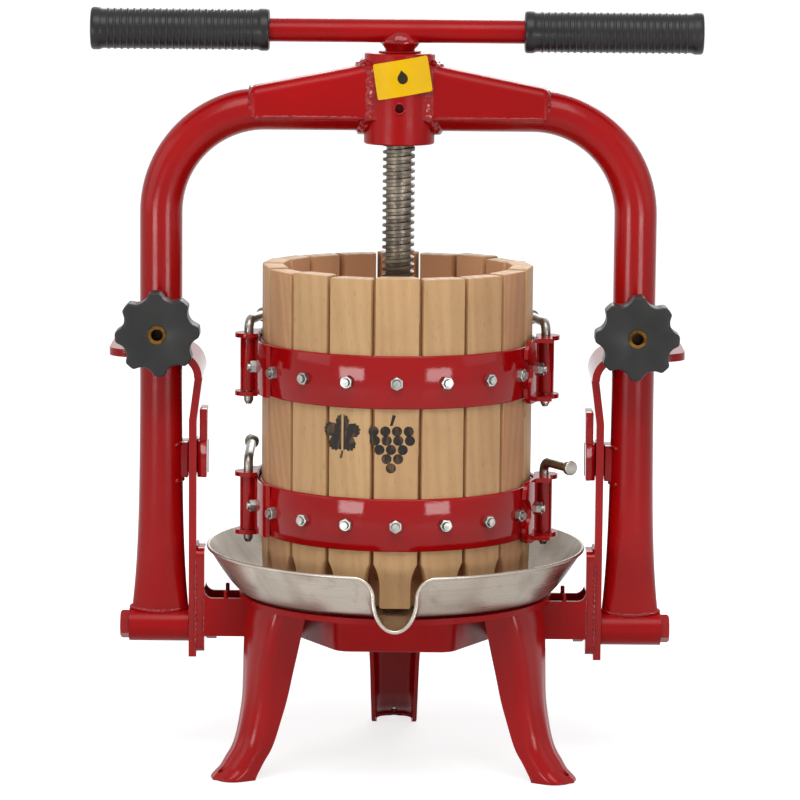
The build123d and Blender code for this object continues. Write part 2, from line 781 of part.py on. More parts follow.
def guide_fork():
    z0 = pivot_z + fork_rise
    z1 = z0 + fork_height
    rear = strap_depth / 2 + fork_gap
    cheek_x = strap_inner - fork_cheek_gap
    reach = strap_depth / 2 - 2
    fork = block(strap_outer + fork_gap, column_x, -reach, rear + fork_web_thickness, z0, z1)
    fork += block(cheek_x - fork_cheek_thickness, column_x, rear, rear + fork_web_thickness, z0, z1)
    fork += block(
        cheek_x - fork_cheek_thickness, cheek_x, -reach, rear + fork_web_thickness, z0, z0 + fork_cheek_height
    )
    fork -= rod_z(arch_tube_diameter, z0, z1, column_x)
    return fork.solids().sort_by(SortBy.VOLUME)[-1]


both_sides("guide_fork", guide_fork())


# Star knobs, each turning a stud that runs in the lug
def knob():
    scallop_middle = knob_diameter / 2 + knob_scallop_radius - knob_scallop_depth
    star = Circle(knob_diameter / 2)
    scallops = PolarLocations(scallop_middle, knob_lobes, start_angle=180 / knob_lobes)
    star -= scallops * Circle(knob_scallop_radius)
    star = fillet(star.vertices(), knob_round)
    body = extrude(star, amount=knob_thickness)
    body = fillet(body.edges().group_by(Axis.Z)[-1], knob_round * 0.8)
    body -= rod_z(insert_diameter, 0, knob_thickness)
    return Pos(column_x, knob_back, knob_z) * Rot(90, 0, 0) * body


both_sides("star_knob", knob())
insert = rod_y(insert_diameter, knob_front, knob_back, column_x, knob_z)
insert -= rod_y(stud_diameter, knob_front, knob_back, column_x, knob_z)
both_sides("knob_insert", insert)
spigot_hole = tip_spigot_diameter + 2 * stud_clearance
stud = rod_y(stud_diameter, knob_front + stud_front_recess, stud_end, column_x, knob_z)
stud -= rod_y(spigot_hole, stud_end - tip_spigot_length - side_play, stud_end, column_x, knob_z)
both_sides("knob_stud", stud)
tip = rod_y(lock_tip_diameter, stud_end + side_play, tip_end, column_x, knob_z)
tip += rod_y(tip_spigot_diameter, stud_end - tip_spigot_length, stud_end + side_play, column_x, knob_z)
both_sides("lock_tip", tip)

# Press screw with its helical thread, washer, weld boss, handle bar and grips
bar_start = handle_offset - handle_length / 2
handle_bar = rod_x(handle_diameter, bar_start, bar_start + handle_length, 0, handle_z)


def press_screw():
    root = screw_diameter - 2 * thread_depth
    thread_start = screw_shoulder + thread_pitch
    thread_length = hub_top - thread_pitch - thread_start
    path = Pos(0, 0, thread_start) * Helix(thread_pitch, thread_length, root / 2)
    outline = Polyline(
        (-thread_sink, -thread_root_width / 2),
        (thread_depth, -thread_crest_width / 2),
        (thread_depth, thread_crest_width / 2),
        (-thread_sink, thread_root_width / 2),
        close=True,
    )
    section = Plane(origin=path @ 0, x_dir=(1, 0, 0), z_dir=path % 0) * make_face(outline)
    ridge = sweep(section, path=path, is_frenet=True)
    screw = rod_z(root, screw_shoulder, hub_top) + ridge
    screw += rod_z(journal_diameter, screw_shoulder - journal_length, screw_shoulder)
    neck = rod_z(neck_diameter, hub_top, handle_z) - handle_bar
    return screw + neck.solids().sort_by(Axis.Z)[0]


parts["press_screw"] = press_screw()
neck_bore = neck_diameter + 2 * journal_clearance
washer = rod_z(washer_diameter, washer_bottom, boss_bottom)
parts["thrust_washer"] = washer - rod_z(neck_bore, washer_bottom, boss_bottom)
boss = Pos(0, 0, (boss_bottom + handle_z) / 2) * Cone(
    boss_diameter / 2, boss_top_diameter / 2, handle_z - boss_bottom
)
parts["handle_boss"] = boss - rod_z(neck_bore, boss_bottom, handle_z) - handle_bar
parts["handle_bar"] = handle_bar


def grip():
    """Ribbed rubber sleeve with a closed end and a flange at each end."""
    outer = handle_length / 2 + grip_end_wall
    inner = outer - grip_length
    sleeve_form = rod_x(grip_diameter, inner, outer, 0, handle_z)
    for x0 in (inner, outer - grip_flange_length):
        flange = rod_x(grip_flange_diameter, x0, x0 + grip_flange_length, 0, handle_z)
        sleeve_form += fillet(flange.edges(), grip_flange_length * 0.25)
    ribbed = grip_length - 2 * grip_flange_length
    step = ribbed / (grip_rib_count + 1)
    for index in range(grip_rib_count):
        x = inner + grip_flange_length + (index + 1) * step
        rib = rod_x(grip_diameter + 2 * grip_rib_depth, x - step / 5, x + step / 5, 0, handle_z)
        sleeve_form += rib
    return sleeve_form - rod_x(handle_diameter + 2 * grip_fit, 0, handle_length / 2 + grip_fit, 0, handle_z)


both_sides("grip", grip())
for side in ("left", "right"):
    parts[side + "_grip"] = Pos(handle_offset, 0, 0) * parts[side + "_grip"]

# Thrust foot that swivels on the screw, and the loose press disc
thrust_foot = rod_z(foot_diameter, foot_bottom, foot_top)
thrust_foot = fillet(thrust_foot.edges(), foot_round)
socket_bottom = screw_shoulder - journal_length - thrust_play
thrust_foot -= rod_z(journal_diameter + 2 * journal_clearance, socket_bottom, foot_top)
parts["thrust_foot"] = thrust_foot
press_disc = rod_z(2 * (stave_back - disc_side_gap), disc_bottom, disc_top)
parts["press_disc"] = fillet(press_disc.edges(), disc_round)

for node, shape in parts.items():
    export_step(shape, f"parts/{node}.step")
print(len(parts), "nodes")
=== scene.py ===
# %% [markdown]
# # A basket fruit press, dressed in Blender
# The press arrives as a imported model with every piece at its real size. This lesson gives each piece
# its finish, remakes the pieces whose look needs more than a plain solid, and lights the whole.

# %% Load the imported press
import json
import math
import random

import bmesh
import bpy
from mathutils import Matrix, Vector, noise


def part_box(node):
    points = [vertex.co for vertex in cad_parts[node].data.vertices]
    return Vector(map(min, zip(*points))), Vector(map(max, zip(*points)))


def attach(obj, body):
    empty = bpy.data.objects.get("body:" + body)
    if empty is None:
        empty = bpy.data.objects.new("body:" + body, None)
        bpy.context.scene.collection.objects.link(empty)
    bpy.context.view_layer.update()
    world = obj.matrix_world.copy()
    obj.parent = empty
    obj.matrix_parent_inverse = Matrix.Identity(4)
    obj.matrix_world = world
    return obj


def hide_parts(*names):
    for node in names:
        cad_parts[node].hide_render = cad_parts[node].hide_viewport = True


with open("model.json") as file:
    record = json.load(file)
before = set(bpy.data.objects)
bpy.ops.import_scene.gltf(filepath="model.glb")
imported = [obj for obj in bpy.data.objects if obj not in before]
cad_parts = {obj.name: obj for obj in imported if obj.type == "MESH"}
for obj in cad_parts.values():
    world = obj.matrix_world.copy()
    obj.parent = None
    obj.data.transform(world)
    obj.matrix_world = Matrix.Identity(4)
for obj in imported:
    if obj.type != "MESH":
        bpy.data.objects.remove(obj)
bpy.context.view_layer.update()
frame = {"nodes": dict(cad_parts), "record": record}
nodes = frame["nodes"]
scene = bpy.context.scene
mm = 0.001
print("pieces in the frame:", len(nodes))

# %% [markdown]
# ## Places read from the frame
# Every new piece has to sit exactly where the solid one is, so its sizes are read from the boxes of the
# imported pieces. The few sizes that a box can't tell, such as the width of one stave, are written once here.


# %% Places read from the frame
def centre(node):
    """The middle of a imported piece's box, as three numbers."""
    return [(low + high) / 2 for low, high in zip(*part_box(node))]


floor_top, stave_top = (corner.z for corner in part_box("front_staves"))
hoop_levels = [[corner.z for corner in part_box(f"front_{level}_hoop")] for level in ("lower", "upper")]
hoop_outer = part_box("front_lower_hoop")[1].x
column_x, _, knob_z = centre("right_star_knob")
sleeve_x, _, pivot_z = centre("right_pivot_sleeve")
sleeve_radius = (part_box("right_pivot_sleeve")[1].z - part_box("right_pivot_sleeve")[0].z) / 2
handle_z = centre("handle_bar")[2]
hub_bottom, hub_top = (corner.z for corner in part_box("screw_hub"))
hub_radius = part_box("screw_hub")[1].x
ring_bottom, ring_top = (corner.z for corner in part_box("base_ring"))
ring_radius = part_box("base_ring")[1].x
tube_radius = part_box("right_arch_tube")[1].y
arch_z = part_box("right_arch_tube")[1].z - tube_radius
fork_low, fork_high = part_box("right_guide_fork")
plate_low, plate_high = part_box("right_inner_plate")
both_sides = (("left", -1), ("right", 1))
both_halves = (("front", -math.pi / 2), ("rear", math.pi / 2))
stave_count = 18
stave_step = 2 * math.pi / stave_count
half_count = stave_count // 2
stave_face, stave_half, stave_thickness = 91.395 * mm, 14.6 * mm, 14 * mm
hoop_thickness = 2.8 * mm
print("screw axis to column:", round(column_x / mm, 1), "mm")
print("height of the hub:", round((hub_top - hub_bottom) / mm, 1), "mm")

# %% [markdown]
# ## Mesh helpers
# Most of the remade pieces are skins: a row of outlines joined into a surface. One helper does that, one
# sweeps a round bar along a line of points, and one is a lathe. The others apply modifiers, drill holes and
# turn a mesh into a finished piece that rides on its body.


# %% Mesh helpers
def angles(sides):
    """Angles of even steps round a circle."""
    return [2 * math.pi * step / sides for step in range(sides)]


def polar(radius, turn, level=0.0):
    """A point at a distance from the upright axis."""
    return Vector((radius * math.cos(turn), radius * math.sin(turn), level))


def lying(point):
    """A point of an upright piece, laid down so that the piece's axis runs along +X."""
    return Vector((point.z, point.x, point.y))


def as_mesh(name, bm, sharp=35):
    """Close a bmesh into a mesh that is smooth except across edges sharper than the given angle."""
    mesh = bpy.data.meshes.new(name)
    bm.to_mesh(mesh)
    bm.free()
    mesh.shade_smooth()
    mesh.set_sharp_from_angle(angle=math.radians(sharp))
    return mesh


def skin(bm, loops, closed=True, caps=False, joined=False):
    """Join a row of equal outlines into a surface."""
    rows = [[bm.verts.new(point) for point in loop] for loop in loops]
    pairs = list(zip(rows, rows[1:]))
    if joined:
        pairs.append((rows[-1], rows[0]))
    faces = []
    for near, far in pairs:
        count = len(near)
        for index in range(count if closed else count - 1):
            after = (index + 1) % count
            faces.append(bm.faces.new((near[index], near[after], far[after], far[index])))
    if caps:
        faces.append(bm.faces.new(rows[0]))
        faces.append(bm.faces.new(rows[-1]))
    bmesh.ops.recalc_face_normals(bm, faces=faces)
    return rows


def sweep(bm, points, radii, sides=10, joined=False):
    """A round bar along a line of points, with its own radius at each point."""
    loops = []
    count = len(points)
    side = None
    for index, point in enumerate(points):
        before = points[index - 1] if joined or index else point
        after = points[(index + 1) % count] if joined or index < count - 1 else point
        along = (after - before).normalized()
        if side is None:
            side = along.orthogonal().normalized()
        side = (side - along * side.dot(along)).normalized()
        other = along.cross(side)
        outline = [side * math.cos(turn) + other * math.sin(turn) for turn in angles(sides)]
        loops.append([point + out * radii[index] for out in outline])
    skin(bm, loops, caps=not joined, joined=joined)


def turned(bm, profile, sides=48, middle=Vector((0, 0, 0)), lay=False, joined=False):
    """A lathe: pairs of radius and level turned about an axis, capped at both ends or closed on itself."""
    loops = []
    for radius, level in profile:
        upright = [polar(radius, turn, level) for turn in angles(sides)]
        loops.append([middle + (lying(point) if lay else point) for point in upright])
    skin(bm, loops, caps=not joined, joined=joined)


def in_scene(name, data):
    """An object in the scene that shows the given data."""
    thing = bpy.data.objects.new(name, data)
    scene.collection.objects.link(thing)
    return thing


def plain_mesh(holder, name):
    """The mesh of an object with its modifiers applied. The object is taken away."""
    ready = holder.evaluated_get(bpy.context.evaluated_depsgraph_get())
    mesh = bpy.data.meshes.new_from_object(ready)
    mesh.name = name
    bpy.data.objects.remove(holder)
    return mesh


def finished_mesh(mesh, kind, sharp, **settings):
    """The mesh with one modifier applied, smooth except across edges sharper than the given angle."""
    holder = in_scene("holder", mesh)
    modifier = holder.modifiers.new(kind, kind)
    for key, value in settings.items():
        setattr(modifier, key, value)
    result = plain_mesh(holder, mesh.name)
    result.shade_smooth()
    result.set_sharp_from_angle(angle=math.radians(sharp))
    return result


def drilled(mesh, radius, depth, middle, tip=0):
    """The mesh with a round hole in it: Boolean takes away an upright cylinder, tipped by an angle about X."""
    hole = bmesh.new()
    place = Matrix.Translation(middle) @ Matrix.Rotation(math.radians(tip), 4, "X")
    ends = {"radius1": radius, "radius2": radius, "depth": depth}
    bmesh.ops.create_cone(hole, cap_ends=True, segments=24, matrix=place, **ends)
    cutter = in_scene("cutter", as_mesh("cutter", hole))
    cut = finished_mesh(mesh, "BOOLEAN", 35, operation="DIFFERENCE", object=cutter, solver="EXACT")
    bpy.data.objects.remove(cutter)
    return cut


def piece(name, mesh, finish, body, slot, *replaced):
    """A finished piece: its finish, the body it rides on and what it stands for. The slot is not used."""
    thing = in_scene(name, mesh)
    mesh.materials.clear()
    mesh.materials.append(finish)
    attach(thing, body)
    if replaced:
        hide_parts(*replaced)
    print(name, "has", len(mesh.polygons), "faces and rides on", body)


# %% [markdown]
# ## Shader helpers
# A finish is a small node tree. Typing every node by hand hides the idea behind the finish, so a few
# helpers add a node, set its plain inputs and make its links in one line. The first class serves any tree
# of nodes, and the second one adds what a material needs.


# %% Shader helpers
class Tree:
    """A node tree whose nodes are added one line at a time."""

    def __init__(self, tree):
        self.tree = tree

    def give(self, socket, value):
        """Link a value into a socket, or set it there when it is a plain number or colour."""
        if isinstance(value, bpy.types.NodeSocket):
            self.tree.links.new(value, socket)
        else:
            socket.default_value = value

    def add(self, kind, settings=None, **inputs):
        """A node with its settings and inputs. A kind that doesn't name its family is a shader node."""
        node = self.tree.nodes.new(kind if "Node" in kind else "ShaderNode" + kind)
        for key, value in (settings or {}).items():
            setattr(node, key, value)
        for key, value in inputs.items():
            self.give(node.inputs[key.replace("_", " ")], value)
        return node

    def sums(self, operation, *values, kind="Math"):
        """The result of a sum with one value or more."""
        node = self.add(kind, {"operation": operation})
        for socket, value in zip(node.inputs, values):
            self.give(socket, value)
        return node.outputs["Value" if operation == "LENGTH" else 0]


class Finish(Tree):
    """A material: a principled shader and the nodes that feed it."""

    def __init__(self, name, **shader):
        self.material = bpy.data.materials.new(name)
        self.material.use_nodes = True
        super().__init__(self.material.node_tree)
        self.shader = self.tree.nodes["Principled BSDF"]
        self.drive(**shader)

    def drive(self, **sockets):
        """Feed sockets of the shader."""
        for socket, value in sockets.items():
            self.give(self.shader.inputs[socket.replace("_", " ")], value)

    def done(self, **sockets):
        """Feed the last sockets and hand the material over."""
        self.drive(**sockets)
        print(self.material.name, "has", len(self.tree.nodes), "nodes")
        return self.material

    def stretch(self, vector, scale):
        """Coordinates with their own scale on each axis."""
        return self.add("Mapping", Vector=vector, Scale=scale).outputs["Vector"]

    def place(self, scale=(1, 1, 1)):
        """Object coordinates, which stay with the piece when it moves."""
        return self.stretch(self.add("TexCoord").outputs["Object"], scale)

    def stored(self, name, output="Fac"):
        """A value that the mesh carries at each of its points."""
        return self.add("Attribute", {"attribute_name": name}).outputs[output]

    def noise(self, vector, scale, detail=3.0, distortion=0.0):
        node = self.add("TexNoise", Vector=vector, Scale=scale, Detail=detail, Distortion=distortion)
        return node.outputs["Fac"]

    def spread(self, value, low, high, to_low=0.0, to_high=1.0):
        """A value whose part between two limits is spread over a new range."""
        node = self.add("MapRange", Value=value, From_Min=low, From_Max=high, To_Min=to_low, To_Max=to_high)
        return node.outputs["Result"]

    def blend(self, share, first, second):
        """Two colours, mixed by a share."""
        node = self.add("Mix", {"data_type": "RGBA"})
        for index, value in ((0, share), (6, first), (7, second)):
            self.give(node.inputs[index], value)
        return node.outputs[2]

    def tint(self, colour, share, strength, added):
        """A colour with some of another one over it."""
        return self.blend(self.sums("MULTIPLY", share, strength), colour, added)

    def bump(self, height, strength, distance, under=None):
        node = self.add("Bump", Height=height, Strength=strength, Distance=distance)
        if under is not None:
            self.give(node.inputs["Normal"], under)
        return node.outputs["Normal"]


def srgb(red, green, blue):
    """A colour given as it looks on screen, 0 to 255, turned into the linear values that shaders use."""
    channels = []
    for value in (red, green, blue):
        value /= 255
        channels.append(value / 12.92 if value <= 0.04045 else ((value + 0.055) / 1.055) ** 2.4)
    return (*channels, 1.0)


# %% [markdown]
# ## Red enamel
# Nearly all the steel is coated in one thick red paint. Sprayed paint is never quite smooth: it has a fine
# orange-peel skin and slow waves over the steel below, so two noises feed the bump, and a third dulls the gloss
# a little here and there. The flat bands are glossy, the bent tube and the legs less so, and what is welded up
# from plates is satin.


# %% Red enamel
def enamel(name, gloss, waviness, shine):
    """Red paint with a range of roughness, the strength of its waves and its shine."""
    finish = Finish(name, Specular_IOR_Level=shine)
    where = finish.place()
    shade = finish.spread(finish.noise(where, 16.0, 4.0), 0.3, 0.7)
    waves = finish.bump(finish.noise(where, 60.0, 2.0), waviness, 1.2 * mm)
    return finish.done(
        Base_Color=finish.blend(shade, srgb(150, 6, 9), srgb(166, 9, 12)),
        Roughness=finish.spread(finish.noise(where, 40.0, 4.0), 0.35, 0.75, *gloss),
        Normal=finish.bump(finish.noise(where, 700.0, 2.0), 0.05, 0.4 * mm, waves),
    )


red_enamel = enamel("red_enamel", gloss=(0.05, 0.1), waviness=0.06, shine=0.21)
tube_enamel = enamel("tube_enamel", gloss=(0.16, 0.26), waviness=0.1, shine=0.2)
satin_enamel = enamel("satin_enamel", gloss=(0.26, 0.4), waviness=0.16, shine=0.16)

# %% [markdown]
# Where pieces are welded the paint lies over a lumpy bead and glitters. The beads get the same red with a
# coarser bump, so that every lump throws its own small highlight.

# %% Enamel over weld
bead_paint = Finish("weld_enamel", Specular_IOR_Level=0.3, Roughness=0.06)
where = bead_paint.place()
shade = bead_paint.spread(bead_paint.noise(where, 90.0), 0.3, 0.7)
lumps = bead_paint.bump(bead_paint.noise(where, 170.0, 2.0), 0.4, 1.6 * mm)
weld_enamel = bead_paint.done(
    Base_Color=bead_paint.blend(shade, srgb(134, 5, 8), srgb(160, 8, 11)),
    Normal=bead_paint.bump(bead_paint.noise(where, 500.0, 2.0), 0.05, 0.4 * mm, lumps),
)

# %% [markdown]
# ## Beech
# The staves are split from beech. Beech is pale and fine, with long soft growth lines, short dark flecks and
# now and then a pin knot. Each stave is cut from another board, so every board carries a tone of its own and
# its own place in the pattern, given to the mesh as attributes. The end grain on top is paler and dusty. The
# inside face of each board is tinted much paler than its outside: painted light, standing in for the light that
# falls into the basket.

# %% Coordinates of the grain
wood = Finish("beech", Specular_IOR_Level=0.25)
board = wood.stored("grain", "Vector")
board_parts = wood.add("SeparateXYZ", Vector=board).outputs
lean = wood.sums("MULTIPLY", wood.stored("stave_slant"), board_parts["Z"])
shift = wood.stored("stave_shift")
moved = wood.add("CombineXYZ", X=lean, Y=shift, Z=shift).outputs["Vector"]
along = wood.sums("ADD", board, moved, kind="VectorMath")
lines_place = wood.stretch(along, (1.0, 1.0, 0.09))
fleck_place = wood.stretch(along, (1.0, 1.0, 0.14))

# %% Beech
waves = {"Scale": 34.0, "Distortion": 7.0, "Detail": 3.0, "Detail_Scale": 1.6}
growth = wood.add("TexWave", {"bands_direction": "X"}, Vector=lines_place, **waves).outputs["Fac"]
lines = wood.spread(growth, 0.1, 0.95)
clouds = wood.spread(wood.noise(lines_place, 38.0, 3.0, 0.6), 0.35, 0.7)
flecks = wood.spread(wood.noise(fleck_place, 900.0, 2.0), 0.6, 0.72)
knot_distance = wood.add("TexVoronoi", {"feature": "F1"}, Vector=along, Scale=17.0).outputs["Distance"]
knots = wood.spread(knot_distance, 0.02, 0.075, 1.0, 0.0)
stains = wood.spread(wood.noise(along, 21.0, 5.0), 0.55, 0.8)
# painted light: a mask for the inside face of every stave, which is tinted pale as if lit from above
painted_inner_light = wood.spread(board_parts["Y"], stave_face - 9 * mm, stave_face - 13 * mm)
tone = wood.stored("stave_tone")
dark_side = wood.blend(tone, srgb(168, 114, 80), srgb(177, 140, 96))
pale_side = wood.blend(tone, srgb(194, 146, 110), srgb(201, 164, 118))
face = wood.tint(pale_side, lines, 0.3, dark_side)
face = wood.tint(face, clouds, 0.45, dark_side)
face = wood.tint(face, flecks, 0.35, srgb(150, 102, 58))
face = wood.tint(face, knots, 0.6, srgb(120, 74, 40))
face = wood.tint(face, stains, 0.22, srgb(140, 92, 60))
# the painted light on the inside faces: a pale tint laid over the wood
face = wood.tint(face, painted_inner_light, 0.85, srgb(240, 184, 138))
ends = wood.blend(wood.noise(along, 260.0), srgb(202, 160, 118), srgb(222, 188, 150))
beech = wood.done(
    Base_Color=wood.blend(wood.stored("end_grain"), face, ends),
    Roughness=wood.spread(lines, 0.0, 1.0, 0.5, 0.62),
    Normal=wood.bump(lines, 0.06, 0.5 * mm, wood.bump(flecks, 0.2, 0.4 * mm)),
)

# %% [markdown]
# ## Stainless sheet
# The tray is spun from stainless sheet and polished while it turns, so fine scratches run round it. Noise
# that is stretched along the way round and squeezed along the height gives that brushing. Hands and rinsing
# leave dull smudges over it. Its right side is painted darker, as painted shade on that side of the tray.

# %% Stainless sheet
sheet = Finish("stainless_sheet", Metallic=1.0)
where = sheet.place()
brush = sheet.noise(sheet.place((9.0, 9.0, 900.0)), 1.0, 4.0)
smudges = sheet.spread(sheet.noise(where, 19.0, 5.0, 1.2), 0.46, 0.7)
spots = sheet.spread(sheet.noise(where, 130.0), 0.6, 0.72)
# painted shade: a mask that grows towards the right side (+X) of the tray
painted_right_shade = sheet.spread(sheet.add("SeparateXYZ", Vector=where).outputs["X"], 10 * mm, 110 * mm)
steel = sheet.blend(brush, srgb(162, 153, 142), srgb(190, 181, 169))
steel = sheet.tint(steel, smudges, 0.6, srgb(128, 114, 100))
# the painted shade darkens the sheet on the right side
steel = sheet.tint(steel, painted_right_shade, 0.5, srgb(120, 108, 94))
haze = sheet.sums("MULTIPLY", smudges, 0.14)
stainless_sheet = sheet.done(
    Base_Color=sheet.tint(steel, spots, 0.25, srgb(128, 116, 103)),
    Roughness=sheet.sums("ADD", sheet.spread(brush, 0.3, 0.7, 0.24, 0.34), haze),
    Normal=sheet.bump(brush, 0.08, 0.3 * mm),
)

# %% [markdown]
# ## The other metals
# Zinc plated nuts are bright, the hinge pins are dull rolled steel, the screw is dark and greasy with brighter
# worn crests, and the knobs hold a brass insert on a stud. Insert and stud are coloured dark as painted shade
# deep in the knob's hole. They differ only in a few numbers, so one recipe makes them all: a base tone, a worn
# tone, a gloss and the size of its spots.


# %% The other metals
def worn_metal(name, base, worn, gloss, spot_scale, metal=1.0):
    finish = Finish(name, Metallic=metal)
    where = finish.place()
    spots = finish.spread(finish.noise(where, spot_scale, 4.0, 0.4), 0.38, 0.66)
    grain = finish.noise(where, spot_scale * 6)
    return finish.done(
        Base_Color=finish.blend(spots, srgb(*base), srgb(*worn)),
        Roughness=finish.spread(grain, 0.3, 0.7, *gloss),
        Normal=finish.bump(grain, 0.12, 0.3 * mm),
    )


zinc_plate = worn_metal("zinc_plate", (138, 138, 134), (190, 190, 184), (0.32, 0.44), 140.0)
pin_steel = worn_metal("pin_steel", (128, 124, 118), (168, 163, 155), (0.28, 0.42), 120.0)
screw_steel = worn_metal("screw_steel", (88, 81, 72), (126, 117, 104), (0.34, 0.5), 90.0, 0.85)
# painted shade: the brass insert is darkened well below real brass, as shade inside the knob's hole
insert_brass = worn_metal("insert_brass", (70, 48, 20), (126, 92, 44), (0.2, 0.34), 160.0)
# painted shade: the stud sits deep in the knob's hole, so its steel is coloured near black
oiled_steel = worn_metal("oiled_steel", (34, 27, 22), (62, 50, 38), (0.36, 0.5), 160.0)

# %% [markdown]
# ## Plastic, rubber, label and ink
# The star knobs are moulded in black plastic and the handle grips in soft vinyl. Both are near black but show
# grey wherever they turn to the light. The hub carries a yellow sticker, and two staves a stencilled mark in
# worn black ink. The ink is a thin skin of its own over the wood, broken up by the grain below it.


# %% Plastic, rubber and label
def moulded(name, dark, pale, gloss, grain_size, depth, shine):
    finish = Finish(name, Specular_IOR_Level=shine)
    where = finish.place()
    clouds = finish.spread(finish.noise(where, 45.0, 4.0), 0.35, 0.7)
    return finish.done(
        Base_Color=finish.blend(clouds, srgb(*dark), srgb(*pale)),
        Roughness=finish.spread(clouds, 0.0, 1.0, *gloss),
        Normal=finish.bump(finish.noise(where, grain_size, 2.0), depth, 0.4 * mm),
    )


knob_plastic = moulded("knob_plastic", (34, 33, 33), (42, 41, 40), (0.36, 0.48), 1400.0, 0.08, 0.25)
grip_rubber = moulded("grip_rubber", (30, 28, 29), (38, 36, 37), (0.3, 0.44), 900.0, 0.1, 0.25)
label_yellow = moulded("label_yellow", (228, 178, 12), (236, 188, 20), (0.34, 0.46), 600.0, 0.04, 0.12)
label_dark = moulded("label_dark", (40, 34, 22), (54, 45, 28), (0.36, 0.46), 600.0, 0.04, 0.12)

# %% Stencil ink
ink = Finish("stencil_ink", Roughness=0.6, Specular_IOR_Level=0.2)
gaps = ink.spread(ink.noise(ink.place((1.0, 1.0, 0.3)), 420.0, 4.0), 0.5, 0.72)
stencil_ink = ink.done(
    Base_Color=ink.blend(gaps, srgb(38, 33, 30), srgb(98, 76, 56)),
    Normal=ink.bump(gaps, 0.1, 0.3 * mm),
)

# %% [markdown]
# Every imported piece names its finish in the record. A few steel pieces get another finish than the rest of
# their kind: the plates of the stand and the handle bar are satin, and the studs are near black, as painted
# shade in the knob holes.

# %% Finishes on the imported pieces
finishes = {
    "red_enamel": red_enamel,
    "beech": beech,
    "stainless_sheet": stainless_sheet,
    "zinc_plate": zinc_plate,
    "pin_steel": pin_steel,
    "screw_steel": screw_steel,
    "knob_plastic": knob_plastic,
    "grip_rubber": grip_rubber,
    "insert_brass": insert_brass,
}
satin_nodes = ("base_ring", "handle_bar", "left_arm", "right_arm", "left_pivot_sleeve", "right_pivot_sleeve")
special = dict.fromkeys(satin_nodes, satin_enamel)
# the studs get the near black steel, painted shade in the knob holes
special.update(dict.fromkeys(("left_knob_stud", "right_knob_stud"), oiled_steel))
for subpart in frame["record"]["subparts"]:
    mesh = nodes[subpart["node"]].data
    mesh.materials.clear()
    mesh.materials.append(special.get(subpart["node"], finishes[subpart["material_slot"]]))
print("finishes:", ", ".join(finishes))

# %% [markdown]
# ## Geometry nodes for whatever repeats
# Staves, nuts, grip ribs and thread all repeat one shape, so geometry nodes lay them out. A small class builds
# such a tree in the script: its inputs have names, each is set by its identifier, and the result is turned
# into a plain mesh, so nothing live is left in the file.


# %% A class for geometry node trees
class Pattern(Tree):
    """A geometry node tree with named inputs that makes one mesh."""

    def __init__(self, name, numbers, **others):
        super().__init__(bpy.data.node_groups.new(name, "GeometryNodeTree"))
        sockets = self.tree.interface
        self.identifiers = {}
        for key, kind in [*((number, "Float") for number in numbers), *others.items()]:
            socket = sockets.new_socket(key, in_out="INPUT", socket_type="NodeSocket" + kind)
            self.identifiers[key] = socket.identifier
        sockets.new_socket("Geometry", in_out="OUTPUT", socket_type="NodeSocketGeometry")
        self.given = self.add("NodeGroupInput").outputs
        self.result = self.add("NodeGroupOutput").inputs[0]

    def geometry(self, kind, settings=None, **inputs):
        return self.add("GeometryNode" + kind, settings, **inputs).outputs[0]

    def copies(self, points, key, **how):
        """A copy of the object that an input names on each point."""
        source = self.add("GeometryNodeObjectInfo", Object=self.given[key]).outputs["Geometry"]
        return self.geometry("InstanceOnPoints", Points=points, Instance=source, **how)

    def fan(self, count):
        """Points, the rank of each and an angle that grows by one step from each to the next."""
        points = self.geometry("MeshLine", Count=self.given[count])
        rank = self.geometry("InputIndex")
        return points, rank, self.sums("MULTIPLY_ADD", rank, self.given["Step"], self.given["First"])

    def vector(self, x=0.0, y=0.0, z=0.0):
        return self.add("CombineXYZ", X=x, Y=y, Z=z).outputs[0]

    def polar(self, radius, turn, level):
        """A place at a distance from the upright axis."""
        x = self.sums("MULTIPLY", radius, self.sums("COSINE", turn))
        y = self.sums("MULTIPLY", radius, self.sums("SINE", turn))
        return self.vector(x, y, level)

    def random(self, low, high, seed):
        """A number between two limits, another one for each point, the same at every run."""
        node = self.add("FunctionNodeRandomValue", {"data_type": "FLOAT"}, Seed=seed)
        for name, value in (("Min", low), ("Max", high)):
            socket = next(s for s in node.inputs if s.name == name and s.type == "VALUE")
            socket.default_value = value
        return next(s for s in node.outputs if s.type == "VALUE")

    def store(self, geometry, name, value, kind="FLOAT"):
        """Give each copy a value of its own that a finish can read."""
        settings = {"data_type": kind, "domain": "INSTANCE"}
        return self.geometry("StoreNamedAttribute", settings, Geometry=geometry, Name=name, Value=value)

    def close(self, geometry, finish):
        """End the tree: real geometry with its material."""
        real = self.geometry("RealizeInstances", Geometry=geometry)
        self.give(self.result, self.geometry("SetMaterial", Geometry=real, Material=finish))

    def make(self, name, **values):
        """The plain mesh that the tree gives for these values."""
        holder = in_scene(name, bpy.data.meshes.new(name))
        modifier = holder.modifiers.new("pattern", "NODES")
        modifier.node_group = self.tree
        for key, value in values.items():
            modifier[self.identifiers[key]] = value
        return plain_mesh(holder, name)


# %% [markdown]
# ## Staves
# The basket is eighteen flat boards. Each is planed flat, has its long edges broken with a plane, and is cut
# to a narrow waist at the foot so that juice can run out between the boards. One board is drawn, standing at
# the origin and facing +X, as outlines stacked from foot to top. It carries its own flat coordinates for the
# grain and a mark on its top end.

